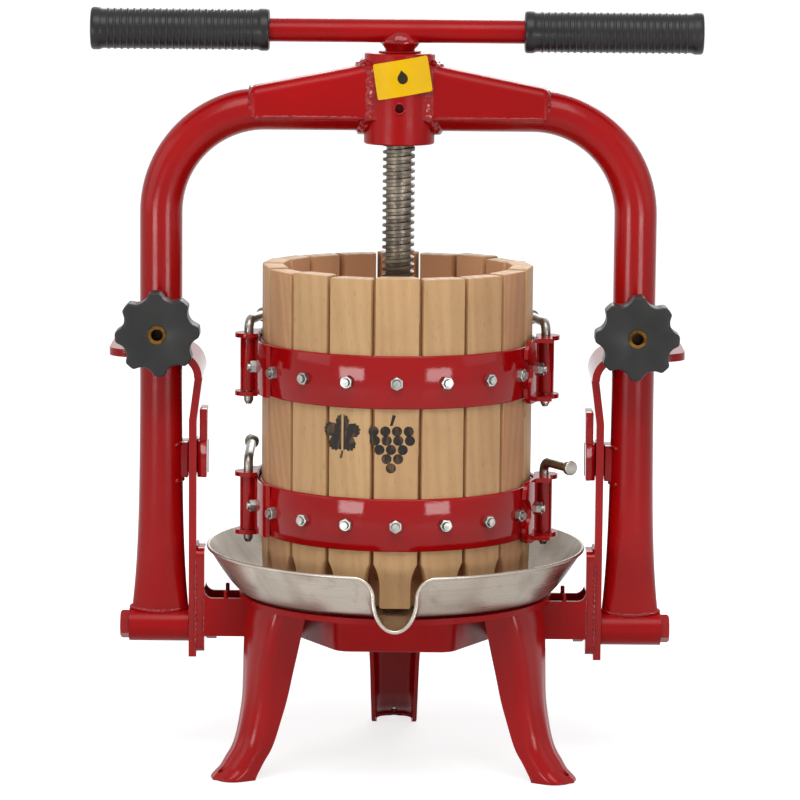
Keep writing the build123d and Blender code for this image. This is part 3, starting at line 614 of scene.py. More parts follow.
# %% One board
back_half, straight_side, broken_edge = 11.4 * mm, 6 * mm, 0.8 * mm
edge_round = ((1.0, 0.0), (0.6, 0.12), (0.22, 0.4), (0.0, 1.1))
foot_cut, foot_start, foot_soft = 4.2 * mm, 3 * mm, 0.6 * mm
waist, hollow = 16.5 * mm, 34 * mm
top_trims = ((0.9, 0.0), (0.5, 0.15), (0.2, 0.42), (0.0, 0.9))


def board_outline(inset, back_inset, level, trim=0.0):
    """The board's outline at one level, with rounded front edges and slanted back corners."""
    front, half = stave_face - trim, stave_half - inset
    right = [(front - deep * broken_edge, half - wide * broken_edge) for deep, wide in edge_round]
    back = (stave_face - stave_thickness + trim, back_half - back_inset)
    right = [back, (stave_face - straight_side, half), *right]
    left = [(x, -y) for x, y in right]
    return [Vector((x, y, level)) for x, y in [*left, (front, 0.0), *reversed(right)]]


def carry(mesh, name, kind, values):
    """Give each point of a mesh a value that a finish can read."""
    mesh.attributes.new(name, kind, "POINT")
    mesh.attributes[name].data.foreach_set("vector" if kind == "FLOAT_VECTOR" else "value", values)


def board_mesh():
    bm = bmesh.new()
    height = stave_top - floor_top
    levels = [foot_start, foot_start + foot_soft, 8 * mm, waist]
    levels += [waist + hollow * math.sin(math.radians(step)) for step in (5, 10, 15, 20, 24, 27, 29)]
    levels += [share * height for share in (0.3, 0.5, 0.7, 0.9)]
    loops = []
    for level in levels:
        inset = foot_cut + (foot_soft if level == foot_start else 0.0)
        if level > waist:
            inset = max(0.0, foot_cut - hollow + math.sqrt(max(0.0, hollow**2 - (level - waist) ** 2)))
        loops.append(board_outline(inset, inset * 0.6, level))
    for drop, trim in top_trims:
        loops.append(board_outline(trim * mm, trim * mm, height - drop * mm, trim * mm))
    skin(bm, loops, caps=True)
    mesh = as_mesh("stave_board", bm, 32)
    spots = [vertex.co.copy() for vertex in mesh.vertices]
    carry(mesh, "grain", "FLOAT_VECTOR", [number for spot in spots for number in (spot.y, spot.x, spot.z)])
    carry(mesh, "end_grain", "FLOAT", [1.0 if spot.z > height - 0.3 * mm else 0.0 for spot in spots])
    return mesh


# %% [markdown]
# The boards of one half stand on nine points. Each point gets the angle of its board from its rank. Seeded
# random values give every board a tone, its own place in the grain pattern and a slightly uneven top.

# %% Staves round the basket
ring = Pattern("stave_ring", ("First", "Step", "Foot"), Board="Object", Boards="Int")
points, rank, angle = ring.fan("Boards")
points = ring.geometry("SetPosition", Geometry=points, Position=ring.vector(z=ring.given["Foot"]))
tall = ring.vector(1.0, 1.0, ring.random(0.9945, 1.0015, seed=4))
placed = ring.copies(points, "Board", Rotation=ring.vector(z=angle), Scale=tall)
placed = ring.store(placed, "stave_tone", ring.random(0.0, 1.0, seed=11))
placed = ring.store(placed, "stave_slant", ring.random(-0.22, 0.22, seed=5))
shift = ring.vector(*(ring.random(0.0, 9.0, seed) for seed in (21, 22, 23)))
ring.close(ring.store(placed, "stave_shift", shift, "FLOAT_VECTOR"), beech)

board_source = in_scene("stave_source", board_mesh())
for half, middle in both_halves:
    sizes = {"First": middle - stave_step * (half_count - 1) / 2, "Step": stave_step, "Foot": floor_top}
    mesh = ring.make(half + "_boards", Board=board_source, Boards=half_count, **sizes)
    piece(half + "_boards", mesh, beech, "stand", "beech", half + "_staves")
bpy.data.objects.remove(board_source)

# %% [markdown]
# ## Hoop nuts
# A carriage bolt through every stave is held outside by a zinc plated hex nut, with the end of the bolt
# showing. A nut is a hexagon whose corners are turned down by a chamfer, so one outline is stacked from the
# seat to the top and then steps in to the bolt.


# %% One nut
def nut_mesh(width, height, bolt, stick_out):
    """A hex nut along +X on its seat at the origin, with a bolt end in it."""
    bm = bmesh.new()
    turns = angles(24)
    flat, recess, tip = width / 2, height - 1.2 * mm, height + stick_out
    hexagon = [flat / math.cos(turn % (math.pi / 3) - math.pi / 6) for turn in turns]
    chamfer = [height - (radius - flat) * 0.7 - 0.1 * mm for radius in hexagon]
    rows = [([0.0] * len(turns), hexagon), (chamfer, hexagon)]
    steps = [(height, flat * 0.95), (height, bolt * 1.26), (recess, bolt * 1.12), (recess, bolt)]
    steps += [(tip - 0.5 * mm, bolt * 0.96), (tip, bolt * 0.66)]
    rows += [([level] * len(turns), [reach] * len(turns)) for level, reach in steps]
    loops = []
    for levels, radii in rows:
        loops.append([lying(polar(*spot)) for spot in zip(radii, turns, levels)])
    skin(bm, loops, caps=True)
    return as_mesh("hoop_nut", bm, 28)


# %% [markdown]
# A row of nuts runs round each half hoop. Its first and last nut sit on the leaf of a hinge bracket, so they
# stand one sheet further out. Nobody lines nuts up when tightening them, so each gets a random turn about its
# own bolt.

# %% Nuts on the hoops
rows = Pattern("nut_rows", ("First", "Step", "Height", "Seat", "Ends"), Nut="Object", Nuts="Int")
points, rank, angle = rows.fan("Nuts")
last = rows.sums("SUBTRACT", rows.given["Nuts"], 1.0)
at_ends = rows.sums("ADD", rows.sums("COMPARE", rank, 0.0, 0.1), rows.sums("COMPARE", rank, last, 0.1))
reach = rows.sums("ADD", rows.given["Seat"], rows.sums("MULTIPLY", at_ends, rows.given["Ends"]))
place = rows.polar(reach, angle, rows.given["Height"])
points = rows.geometry("SetPosition", Geometry=points, Position=place)
spin = rows.vector(x=rows.random(0.0, 1.05, seed=8), z=angle)
rows.close(rows.copies(points, "Nut", Rotation=spin), zinc_plate)

nut_width, nut_height, bolt_radius, bolt_end, leaf_sheet = 7.7 * mm, 3.7 * mm, 2.3 * mm, 1.2 * mm, 2.5 * mm
nut_source = in_scene("nut_source", nut_mesh(nut_width, nut_height, bolt_radius, bolt_end))
for half, middle in both_halves:
    sizes = {"First": middle - stave_step * (half_count - 1) / 2, "Step": stave_step, "Ends": leaf_sheet}
    bm = bmesh.new()
    for low, high in hoop_levels:
        sizes["Height"] = (low + high) / 2
        bm.from_mesh(rows.make("nut_row", Nut=nut_source, Nuts=half_count, Seat=hoop_outer, **sizes))
    mesh = as_mesh(half + "_nuts", bm, 28)
    piece(half + "_nuts", mesh, zinc_plate, "stand", "zinc_plate", half + "_hoop_nuts")
bpy.data.objects.remove(nut_source)

# %% [markdown]
# ## Press screw
# The screw has a trapezoid thread of 5 mm pitch. A flat grid becomes the thread: one direction of the grid
# runs along the helix and the other crosses the profile from root over the crest to the next root. Set
# Position rolls it up, Merge by Distance sews each turn to the next, and a plain core, the journal in the
# foot and the neck under the handle are added after that.

# %% Thread
helix = Pattern("screw_thread", ("Turns", "Pitch", "Root", "Depth", "Start"), Columns="Int")
given = helix.given
strip = helix.geometry("MeshGrid", Vertices_X=given["Columns"], Vertices_Y=11)
spot = helix.add("SeparateXYZ", Vector=helix.geometry("InputPosition")).outputs
turn = helix.sums("MULTIPLY", helix.sums("ADD", spot["X"], 0.5), given["Turns"])
across = helix.sums("ADD", spot["Y"], 0.5)
edge = helix.sums("MINIMUM", across, helix.sums("SUBTRACT", 1.0, across))
ridge = helix.add("MapRange", Value=edge, From_Min=0.2, From_Max=0.3).outputs[0]
radius = helix.sums("MULTIPLY_ADD", ridge, given["Depth"], given["Root"])
angle = helix.sums("MULTIPLY", turn, 2 * math.pi)
level = helix.sums("MULTIPLY_ADD", helix.sums("ADD", turn, across), given["Pitch"], given["Start"])
thread = helix.geometry("SetPosition", Geometry=strip, Position=helix.polar(radius, angle, level))
helix.close(helix.geometry("MergeByDistance", Geometry=thread, Distance=0.01 * mm), screw_steel)

# %% Press screw
screw_pitch, screw_crest, thread_depth = 5.0 * mm, 11.0 * mm, 2.4 * mm
screw_root = screw_crest - thread_depth
core, journal, neck = screw_root - 0.02 * mm, 6.5 * mm, 7 * mm
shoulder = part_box("thrust_foot")[1].z + 0.35 * mm
journal_end, neck_end = shoulder - 12 * mm, handle_z - 8 * mm
turns = (hub_top - shoulder) / screw_pitch - 3
steps_per_turn = 40

bm = bmesh.new()
sizes = {"Pitch": screw_pitch, "Root": screw_root, "Depth": thread_depth, "Start": shoulder + screw_pitch}
bm.from_mesh(helix.make("thread", Turns=float(turns), Columns=int(turns * steps_per_turn) + 1, **sizes))
profile = [(journal, journal_end), (journal, shoulder), (core, shoulder), (core, hub_top)]
turned(bm, [*profile, (neck, hub_top), (neck, neck_end)])
mesh = as_mesh("screw_and_thread", bm, 30)
piece("screw_and_thread", mesh, screw_steel, "screw", "screw_steel", "press_screw")

# %% [markdown]
# ## Handle grips
# Each end of the bar carries a vinyl sleeve, dipped and pushed on: a thick collar at either end and shallow
# rings between them for the fingers. The rings are one small hoop repeated along a line of points.

# %% Finger rings
grip_radius, grip_collar, grip_bore, ring_count = 13.4 * mm, 14.4 * mm, 8.1 * mm, 23
ring_section = ((-1.5, -0.6), (-1.0, 0.1), (-0.5, 0.5), (0.0, 0.62), (0.5, 0.5), (1.0, 0.1), (1.5, -0.6))
bm = bmesh.new()
loops = []
for turn in angles(40):
    loops.append([lying(polar(grip_radius + rise * mm, turn, x * mm)) for x, rise in ring_section])
skin(bm, loops, joined=True)
rib_source = in_scene("rib_source", as_mesh("grip_ring", bm, 60))

ribs = Pattern("grip_rings", ("First", "Step", "Height"), Ring="Object", Rings="Int")
given = ribs.given
start, offset = ribs.vector(given["First"], 0.0, given["Height"]), ribs.vector(given["Step"])
line = ribs.geometry("MeshLine", Count=given["Rings"], Start_Location=start, Offset=offset)
ribs.close(ribs.copies(line, "Ring"), grip_rubber)

# %% [markdown]
# The sleeve is turned on the lathe helper. Half of its profile is drawn from the inner end, and the same half,
# read backwards from the outer end, completes it.

# %% Handle grips
collar, soft = 7.5 * mm, 1.8 * mm
collar_profile = [(grip_collar - soft, 0.0), (grip_collar - 0.3 * soft, 0.3 * soft), (grip_collar, soft)]
collar_profile += [(grip_collar, collar - soft), (grip_collar - 0.3 * soft, collar - 0.3 * soft)]
collar_profile += [(grip_radius, collar + 0.4 * soft)]
for side, sign in both_sides:
    low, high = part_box(side + "_grip")
    inner, outer = (high.x, low.x) if sign < 0 else (low.x, high.x)
    length = abs(outer - inner)
    profile = [(grip_bore, 0.0)] + collar_profile
    profile += [(radius, length - level) for radius, level in reversed(collar_profile)]
    profile += [(grip_collar * 0.5, length + 0.4 * mm), (0.2 * mm, length + 0.5 * mm)]
    bm = bmesh.new()
    lengthwise = [(radius, inner + sign * level) for radius, level in profile]
    turned(bm, lengthwise, 56, Vector((0, 0, handle_z)), lay=True)
    step = sign * (length - 2 * collar) / (ring_count + 1)
    first = inner + sign * collar + step
    bm.from_mesh(ribs.make("rings", Ring=rib_source, Rings=ring_count, First=first, Step=step, Height=handle_z))
    bmesh.ops.recalc_face_normals(bm, faces=bm.faces)
    mesh = as_mesh(side + "_sleeve", bm, 40)
    piece(side + "_sleeve", mesh, grip_rubber, "screw", "grip_rubber", side + "_grip")
bpy.data.objects.remove(rib_source)

# %% [markdown]
# ## Star knobs
# The knobs are moulded with eight lobes that fingers can turn. Seen along its axis the outline is a circle
# with eight hollows. Averaging the outline with its neighbours softens the corners between the hollows, as the
# mould does, and the front edge is rolled over in a small quarter circle.

# %% Star knobs
knob_lobes, knob_rim, lobe_hollow, hollow_depth = 8, 28.5 * mm, 8.6 * mm, 4.8 * mm
knob_bore, knob_roll, back_edge = 6.25 * mm, 1.5 * mm, 1.2 * mm


def star_outline(sides=240):
    """Radius of the knob's outline at each step round it, with a lobe at the top."""
    away = knob_rim + lobe_hollow - hollow_depth
    reach = []
    for angle in angles(sides):
        turn = angle % (2 * math.pi / knob_lobes) - math.pi / knob_lobes
        beside = away * math.sin(turn)
        cut = knob_rim
        if abs(beside) < lobe_hollow:
            cut = min(knob_rim, away * math.cos(turn) - math.sqrt(lobe_hollow**2 - beside**2))
        reach.append(cut)
    for smoothing in range(2):
        reach = [(reach[i - 1] + reach[i] + reach[(i + 1) % sides]) / 3 for i in range(sides)]
    return reach


def knob_mesh(name, middle, front, back, spin):
    bm = bmesh.new()
    reach = star_outline()
    sides = len(reach)
    levels = [(back, back_edge), (back - 0.35 * mm, 0.35 * mm), (back - back_edge, 0.0)]
    levels.append(((front + back) / 2, 0.0))
    for step in range(9):
        bend = math.pi / 2 * step / 8
        levels.append((front + knob_roll * (1 - math.sin(bend)), knob_roll * (1 - math.cos(bend))))
    loops = [[(knob_bore, back)] * sides]
    loops += [[(radius - inset, y) for radius in reach] for y, inset in levels]
    for wider, deeper in ((0.9, 0.0), (0.2, 0.3), (0.0, 0.9)):
        loops.append([(knob_bore + wider * mm, front + deeper * mm)] * sides)
    placed = []
    for loop in loops:
        around = [polar(radius, turn + spin, y) for (radius, y), turn in zip(loop, angles(sides))]
        placed.append([middle + Vector((point.y, point.z, point.x)) for point in around])
    skin(bm, placed, joined=True)
    return as_mesh(name, bm, 40)


for side, spin in (("left", math.radians(-4)), ("right", math.radians(2))):
    low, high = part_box(side + "_star_knob")
    middle = Vector((centre(side + "_star_knob")[0], 0, knob_z))
    mesh = knob_mesh(side + "_knob_body", middle, low.y, high.y, spin)
    piece(side + "_knob_body", mesh, knob_plastic, side + "_knob", "knob_plastic", side + "_star_knob")

# %% [markdown]
# ## Press disc
# The disc that presses the fruit is glued up from beech planks and turned round. It lies deep in the basket.
# It gets the same attributes as the staves, with a tone that changes from plank to plank.

# %% Press disc
low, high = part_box("press_disc")
disc_radius, soft = high.x, 2 * mm
plank_tone, tone_swing, tone_waves = 0.35, 0.3, 40
profile = [(0.4 * mm, low.z), (disc_radius - soft, low.z), (disc_radius, low.z + soft)]
profile += [(disc_radius, high.z - soft), (disc_radius - soft, high.z)]
bm = bmesh.new()
turned(bm, profile + [(disc_radius * share, high.z) for share in (0.8, 0.6, 0.4, 0.2, 0.01)], 96)
mesh = as_mesh("pressing_disc", bm, 50)
spots = [vertex.co.copy() for vertex in mesh.vertices]
carry(mesh, "grain", "FLOAT_VECTOR", [number for spot in spots for number in (spot.x, spot.z, spot.y)])
carry(mesh, "stave_tone", "FLOAT", [plank_tone + tone_swing * math.sin(tone_waves * spot.x) for spot in spots])
piece("pressing_disc", mesh, beech, "press_disc", "beech", "press_disc")

# %% [markdown]
# ## Hoops
# Two steel hoops hold each half of the basket. A rolled hoop isn't flat: its face is crowned and its edges are
# soft, which draws the reflected lamps into its upper half. The section is carried round the half circle.

# %% Hoops
hoop_crown, hoop_edge, hoop_gap = 1.2 * mm, 1.2 * mm, 1.5 * mm


def hoop_section(tall):
    """Pairs of radius and height across a hoop, from its lower inner edge over the crown to the upper one."""
    reach = tall / 2
    flat_end, crown_end = reach - hoop_edge, hoop_outer - hoop_crown
    upper = [(hoop_outer - hoop_crown * (step / 6) ** 2, step / 6 * flat_end) for step in range(7)]
    for step in range(1, 6):
        turn = math.radians(18 * step)
        upper.append((crown_end - hoop_edge * (1 - math.cos(turn)), flat_end + hoop_edge * math.sin(turn)))
    upper.append((hoop_outer - hoop_thickness, reach))
    return [(radius, -z) for radius, z in reversed(upper)] + upper[1:]


def hoop_mesh(name, middle_turn, low, high, steps=72):
    bm = bmesh.new()
    section, middle = hoop_section(high - low), (low + high) / 2
    gap = math.asin(hoop_gap / hoop_outer)
    loops = []
    for step in range(steps + 1):
        turn = middle_turn - math.pi / 2 + gap + (math.pi - 2 * gap) * step / steps
        loops.append([polar(radius, turn, middle + z) for radius, z in section])
    skin(bm, loops, caps=True)
    return as_mesh(name, bm, 38)


for half, middle_turn in both_halves:
    for level, (low, high) in zip(("lower", "upper"), hoop_levels):
        name = f"{half}_{level}_band"
        mesh = hoop_mesh(name, middle_turn, low, high)
        piece(name, mesh, red_enamel, "stand", "red_enamel", f"{half}_{level}_hoop")

# %% [markdown]
# ## Juice tray
# The tray is pressed from thin sheet: a flat floor, a wall that leans out, and a pouring spout drawn down from
# the rim at the front. It is drawn as one surface. Each line of points starts on the rim, follows a curve with
# one control point down the wall and ends on the floor. Along the spout the rim line dips in an S to the lip
# and the control points follow it, so wall and spout flow into each other. Solidify gives the sheet its
# thickness, and a thin rolled bead runs along the whole rim.

# %% Rim of the juice tray
tray_low, tray_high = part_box("juice_tray")
rim_bead, tray_sheet = 1.25 * mm, 1.4 * mm
rim_z, rim_radius, lip_y = tray_high.z - 1.3 * mm, tray_high.x, tray_low.y
base_radius, floor_radius = rim_radius - 18.2 * mm, rim_radius - 27 * mm
lip_z = ring_top - 3.5 * mm
spout_half, spout_tall, spout_corner = 14.6 * mm, 22 * mm, 13 * mm
spout_reach = spout_half + spout_corner


def rim_line():
    """Points of the rim from the middle of the spout round to the back, for the +X side, and their ease."""
    points = []
    for step in range(13):
        turn = math.pi / 2 * step / 12
        points.append((spout_half * math.sin(turn), lip_z + spout_tall * (1 - math.cos(turn))))
    for step in range(1, 11):
        turn = math.pi / 2 * step / 10
        aside, drop = spout_corner * (1 - math.cos(turn)), spout_corner * (1 - math.sin(turn))
        points.append((spout_half + aside, rim_z - drop))
    line = []
    for x, z in points:
        part = max(0.0, min(1.0, (rim_z - z) / (rim_z - lip_z)))
        ease = part * part * (3 - 2 * part)
        round_y = -math.sqrt(rim_radius**2 - x * x)
        line.append((Vector((x, round_y + (lip_y - round_y) * ease - 0.4 * mm, z)), ease))
    start = math.asin(spout_reach / rim_radius)
    for step in range(1, 61):
        turn = start + (math.pi - start) * step / 60
        line.append((Vector((rim_radius * math.sin(turn), -rim_radius * math.cos(turn), rim_z)), 0.0))
    return line


# %% Juice tray
def tray_line(rim, ease):
    """Points from the rim down the wall and over the floor to near the middle."""
    if ease > 0:
        bend = Vector((rim.x * (1 - 0.1 * ease), -math.sqrt(base_radius**2 - rim.x**2), 0))
        ground = Vector((rim.x * 0.95, -math.sqrt(floor_radius**2 - rim.x**2), 0))
    else:
        out = Vector((rim.x, rim.y, 0)).normalized()
        bend, ground = out * base_radius, out * floor_radius
    bend.z, ground.z = ring_top - ease * 0.6 * mm, ring_top
    shares = [step / 12 for step in range(13)]
    line = [rim * (1 - part) ** 2 + bend * 2 * part * (1 - part) + ground * part**2 for part in shares]
    return line + [Vector((ground.x * share, ground.y * share, ring_top)) for share in (0.8, 0.5, 0.2)]


def tray_mesh():
    right = rim_line()
    around = right + [(Vector((-rim.x, rim.y, rim.z)), ease) for rim, ease in reversed(right[1:-1])]
    lines = [tray_line(rim, ease) for rim, ease in around]
    bm = bmesh.new()
    grid = skin(bm, list(zip(*lines)))
    bm.faces.new(grid[-1])
    bmesh.ops.recalc_face_normals(bm, faces=bm.faces)
    if sum(face.normal.z * face.calc_area() for face in bm.faces) < 0:
        bmesh.ops.reverse_faces(bm, faces=bm.faces)
    thick = finished_mesh(as_mesh("tray_sheet", bm, 60), "SOLIDIFY", 60, thickness=tray_sheet, offset=1.0)
    bm = bmesh.new()
    bm.from_mesh(thick)
    bead = [rim + Vector((0, 0, 0.2 * mm)) for rim, ease in around]
    sweep(bm, bead, [rim_bead] * len(bead), joined=True)
    return as_mesh("tray", bm, 50)


piece("tray", tray_mesh(), stainless_sheet, "stand", "stainless_sheet", "juice_tray")

# %% [markdown]
# ## Arch tube
# The arch is one steel tube bent twice. Its feet are squeezed so that they grow wide from side to side and thin
# from front to back, where they are welded to the pivot sleeves. Each section is an ellipse: the width grows
# slowly down the column and quickly near the foot, and the depth shrinks with it. Boolean drills the socket
# that the tip of the lock screw enters.

# %% Sections of the arch tube
bend_radius, flare_rise = 71 * mm, 160 * mm
foot_half, foot_depth, foot_lift, foot_shift = 20.5 * mm, 6.5 * mm, 4 * mm, 0.6 * mm
slow_flare, quick_flare = 0.22, 0.78
tube_start, tube_end = pivot_z + foot_lift, hub_radius - 2 * mm
socket_radius, socket_depth = 4.6 * mm, 40 * mm


def tube_stations():
    """Place, outward direction, half width and half depth of each section, from the foot to the hub."""
    stations = []
    out = Vector((1, 0, 0))
    flare_top = pivot_z + flare_rise
    for step in range(29):
        part = step / 28
        down = 1 - part
        wide = tube_radius + (foot_half - tube_radius) * (slow_flare * down + quick_flare * down**4)
        deep = tube_radius + (foot_depth - tube_radius) * down**4
        shift = (sleeve_x - column_x - foot_shift) * down**3
        middle = Vector((column_x + shift, 0, tube_start + (flare_top - pivot_z - foot_lift) * part))
        stations.append((middle, out, wide, deep))
    bend_z = arch_z - bend_radius
    round_tube = (tube_radius, tube_radius)
    for step in range(1, 13):
        stations.append((Vector((column_x, 0, flare_top + (bend_z - flare_top) * step / 12)), out, *round_tube))
    heart = Vector((column_x - bend_radius, 0, bend_z))
    for step in range(1, 25):
        turn = math.pi / 2 * step / 24
        out = Vector((math.cos(turn), 0, math.sin(turn)))
        stations.append((heart + out * bend_radius, out, *round_tube))
    for step in range(1, 7):
        stations.append((Vector((heart.x + (tube_end - heart.x) * step / 6, 0, arch_z)), out, *round_tube))
    return stations


# %% Arch tube
def arch_mesh(name, sign):
    bm = bmesh.new()
    loops = []
    for middle, out, wide, deep in tube_stations():
        loop = []
        for turn in angles(56):
            point = middle + out * (wide * math.cos(turn)) + Vector((0, deep * math.sin(turn), 0))
            loop.append(Vector((sign * point.x, point.y, point.z)))
        loops.append(loop)
    skin(bm, loops, caps=True)
    socket = (sign * column_x, -socket_depth / 2, knob_z)
    return drilled(as_mesh(name, bm, 30), socket_radius, socket_depth, socket, tip=90)


for side, sign in both_sides:
    name = side + "_column"
    piece(name, arch_mesh(name, sign), tube_enamel, "arch", "red_enamel", side + "_arch_tube")

# %% [markdown]
# ## Legs
# The three legs are pressed from sheet: a channel with round shoulders that runs straight down, then sweeps out
# to a round toe with a hole in it. A few rows give, in millimetres, the height, how far out the leg has moved,
# its width, its depth and the round of its shoulders. A smooth curve is led through those rows, and each row on
# it becomes one level outline.

# %% Rows of a leg
leg_rows = (
    (115.0, 2.0, 45.0, 24.5, 8.0),
    (104.0, 4.7, 43.5, 25.0, 8.0),
    (87.0, 7.1, 39.5, 24.5, 9.0),
    (72.0, 8.5, 36.0, 23.1, 9.5),
    (54.0, 10.1, 33.2, 21.1, 10.0),
    (39.0, 13.0, 32.0, 19.4, 10.5),
    (28.0, 15.9, 31.4, 18.7, 11.0),
    (20.0, 19.4, 31.0, 18.7, 11.5),
    (13.0, 24.7, 30.6, 19.3, 12.0),
    (8.0, 28.4, 30.4, 20.0, 12.5),
    (4.5, 32.6, 30.2, 22.2, 12.5),
    (2.0, 35.4, 30.0, 23.8, 12.5),
    (0.6, 35.8, 29.6, 23.8, 12.3),
    (0.0, 34.6, 28.6, 22.8, 12.0),
)
leg_sheet, leg_crown, leg_inset = 3.0, 1.4, 3.2
toe_hole_radius, toe_hole_out, toe_drill = 2.4, 31.0, 100.0
legs = (("rear_leg", 90, 1.09), ("front_left_leg", 210, 1.0), ("front_right_leg", 330, 1.0))


def smooth_rows(rows, steps):
    """Rows of numbers on a smooth curve that passes through the given ones."""
    curve = []
    for index in range(len(rows) - 1):
        a, b, c, d = (rows[max(0, min(len(rows) - 1, index + k))] for k in (-1, 0, 1, 2))
        for step in range(steps):
            t = step / steps
            curve.append([
                q + 0.5 * t * (r - p + t * (2 * p - 5 * q + 4 * r - s + t * (3 * (q - r) + s - p)))
                for p, q, r, s in zip(a, b, c, d)
            ])
    return curve + [list(rows[-1])]


# %% Legs
def channel_outline(width, depth, shoulder):
    """Depth and side of a channel with round shoulders, first its outside and then back along its inside."""
    outline = []
    for gap, order in ((0.0, 1), (leg_sheet, -1)):
        half, bend = width / 2 - gap, shoulder - gap
        flat = half - bend
        side = [(depth, half)]
        for step in range(9):
            turn = math.radians(step * 11.25)
            side.append((gap + bend - bend * math.sin(turn), flat + bend * math.cos(turn)))
        middle = [(gap - leg_crown * (1 - (k / 3) ** 2), -flat * k / 3) for k in (-2, -1, 0, 1, 2)]
        line = side + middle + [(d, -t) for d, t in reversed(side)]
        outline += line[::order]
    return outline


def leg_mesh(name, turn, widen):
    bm = bmesh.new()
    spin = Matrix.Rotation(math.radians(turn), 3, "Z")
    top_reach = ring_radius / mm - leg_inset
    loops = []
    for height, out, width, depth, shoulder in smooth_rows(leg_rows, 3):
        outline = channel_outline(width * widen, depth, shoulder)
        loops.append([spin @ Vector((top_reach + out - d, t, height)) * mm for d, t in outline])
    skin(bm, loops, caps=True)
    toe = spin @ Vector((top_reach + toe_hole_out, 0, 0)) * mm
    return drilled(as_mesh(name, bm, 40), toe_hole_radius * mm, toe_drill * mm, toe)


for node, turn, widen in legs:
    name = node.replace("leg", "pressed_leg")
    piece(name, leg_mesh(name, turn, widen), tube_enamel, "stand", "red_enamel", node)

# %% [markdown]
# ## Apron
# Under the ring a strip of sheet is bent round six soft corners. Its outline is six arcs, joined by straight
# sides. The same outline is used outside and, one sheet further in, inside.

# %% Apron
apron_low, apron_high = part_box("base_apron")
apron_sheet, apron_bend, apron_soft = 3 * mm, 13 * mm, 0.8 * mm


def apron_outline(apothem, level):
    """Six arcs round the axis, whose flat sides lie at the given distance from it."""
    bend = apron_bend - apron_high.y + apothem
    outline = []
    for corner in range(0, 360, 60):
        heart = polar((apothem - bend) / math.cos(math.radians(30)), math.radians(corner), level)
        outline += [heart + polar(bend, math.radians(corner - 30 + 7.5 * step)) for step in range(9)]
    return outline


outer, inner = apron_high.y, apron_high.y - apron_sheet
stack = [(inner, apron_high.z), (inner, apron_low.z), (outer - apron_soft, apron_low.z)]
stack += [(outer, apron_low.z + apron_soft), (outer, apron_high.z)]
bm = bmesh.new()
skin(bm, [apron_outline(apothem, level) for apothem, level in stack], joined=True)
piece("apron", as_mesh("apron", bm, 50), satin_enamel, "stand", "red_enamel", "base_apron")

# %% [markdown]
# ## Hub
# The hub is a short thick tube. It is turned as a profile that closes on itself, and Boolean drills the oil
# hole through its front. A thin washer lies between it and the boss of the handle.

# %% Hub and washer
hub_bore, hub_edge, hub_rim = 11.4 * mm, 0.8 * mm, hub_top + 2.5 * mm
oil_z, oil_hole, oil_drill = hub_bottom + 25 * mm, 3.0 * mm, 16 * mm
washer_bore, washer_radius, washer_low, washer_high = 10 * mm, 14.4 * mm, hub_rim + 0.4 * mm, hub_rim + 1.4 * mm

bm = bmesh.new()
profile = [(hub_bore, hub_bottom), (hub_radius - hub_edge, hub_bottom), (hub_radius, hub_bottom + hub_edge)]
profile += [(hub_radius, hub_rim - hub_edge), (hub_radius - hub_edge, hub_rim), (hub_bore, hub_rim)]
turned(bm, profile, 72, joined=True)
mesh = drilled(as_mesh("hub", bm), oil_hole, oil_drill, (0, -hub_radius, oil_z), tip=90)
piece("hub", mesh, satin_enamel, "arch", "red_enamel", "screw_hub")

bm = bmesh.new()
profile = [(washer_bore, washer_low), (washer_bore, washer_high)]
profile += [(washer_radius, washer_high), (washer_radius, washer_low)]
turned(bm, profile, 72, joined=True)
piece("washer", as_mesh("washer", bm), satin_enamel, "screw", "red_enamel", "thrust_washer")

# %% [markdown]
# Four short pins on the arms keep the tray in its place.

# %% Tray pins
pin_radius, pin_shaft, pin_tall, pin_tip = 1.5 * mm, 4.6 * mm, 5.2 * mm, 0.9 * mm
pin_low, pin_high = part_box("tray_locating_pins")
profile = [(pin_radius, pin_low.z), (pin_radius, pin_low.z + pin_shaft), (pin_tip, pin_low.z + pin_tall)]
bm = bmesh.new()
for x in (pin_low.x + pin_radius, pin_high.x - pin_radius):
    for y in (pin_low.y + pin_radius, pin_high.y - pin_radius):
        turned(bm, profile, 20, middle=Vector((x, y, 0)))
piece("tray_pins", as_mesh("tray_pins", bm), satin_enamel, "stand", "zinc_plate", "tray_locating_pins")

# %% [markdown]
# ## Gussets
# Two saddles of bent sheet stiffen the arch beside the hub. Each is a skin over a row of arched outlines: flat
# sides, a rounded roof that falls away from the hub, and a last few outlines that shrink onto the tube, so the
# end is soft instead of cut. Beside the hub the saddle swells a little over the weld below it.

# %% Gussets
gusset_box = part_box("right_arch_gusset")
gusset_low, gusset_high, gusset_end = gusset_box[0].z, gusset_box[1].z + 5 * mm, gusset_box[1].x
gusset_half, gusset_end_top = tube_radius + 1.4 * mm, arch_z + 15.1 * mm
gusset_start, gusset_soft, gusset_tuck, roof_round = 12 * mm, 5 * mm, 3.2 * mm, 7 * mm
swell_tall, swell_long = 1.0 * mm, 9 * mm
seam_x = math.sqrt(hub_radius**2 - gusset_half**2)


def saddle_outline(x, top, half):
    """One arched outline across the arm, from one skirt over the roof to the other."""
    halfway = (gusset_low + top - roof_round) / 2
    outline = [(half, gusset_low), (half, halfway)]
    for begin, side in ((0, 1), (90, -1)):
        for step in range(7):
            turn = math.radians(begin + step * 15)
            y = side * (half - roof_round) + roof_round * math.cos(turn)
            outline.append((y, top - roof_round + roof_round * math.sin(turn)))
    return [Vector((x, y, z)) for y, z in [*outline, (-half, halfway), (-half, gusset_low)]]


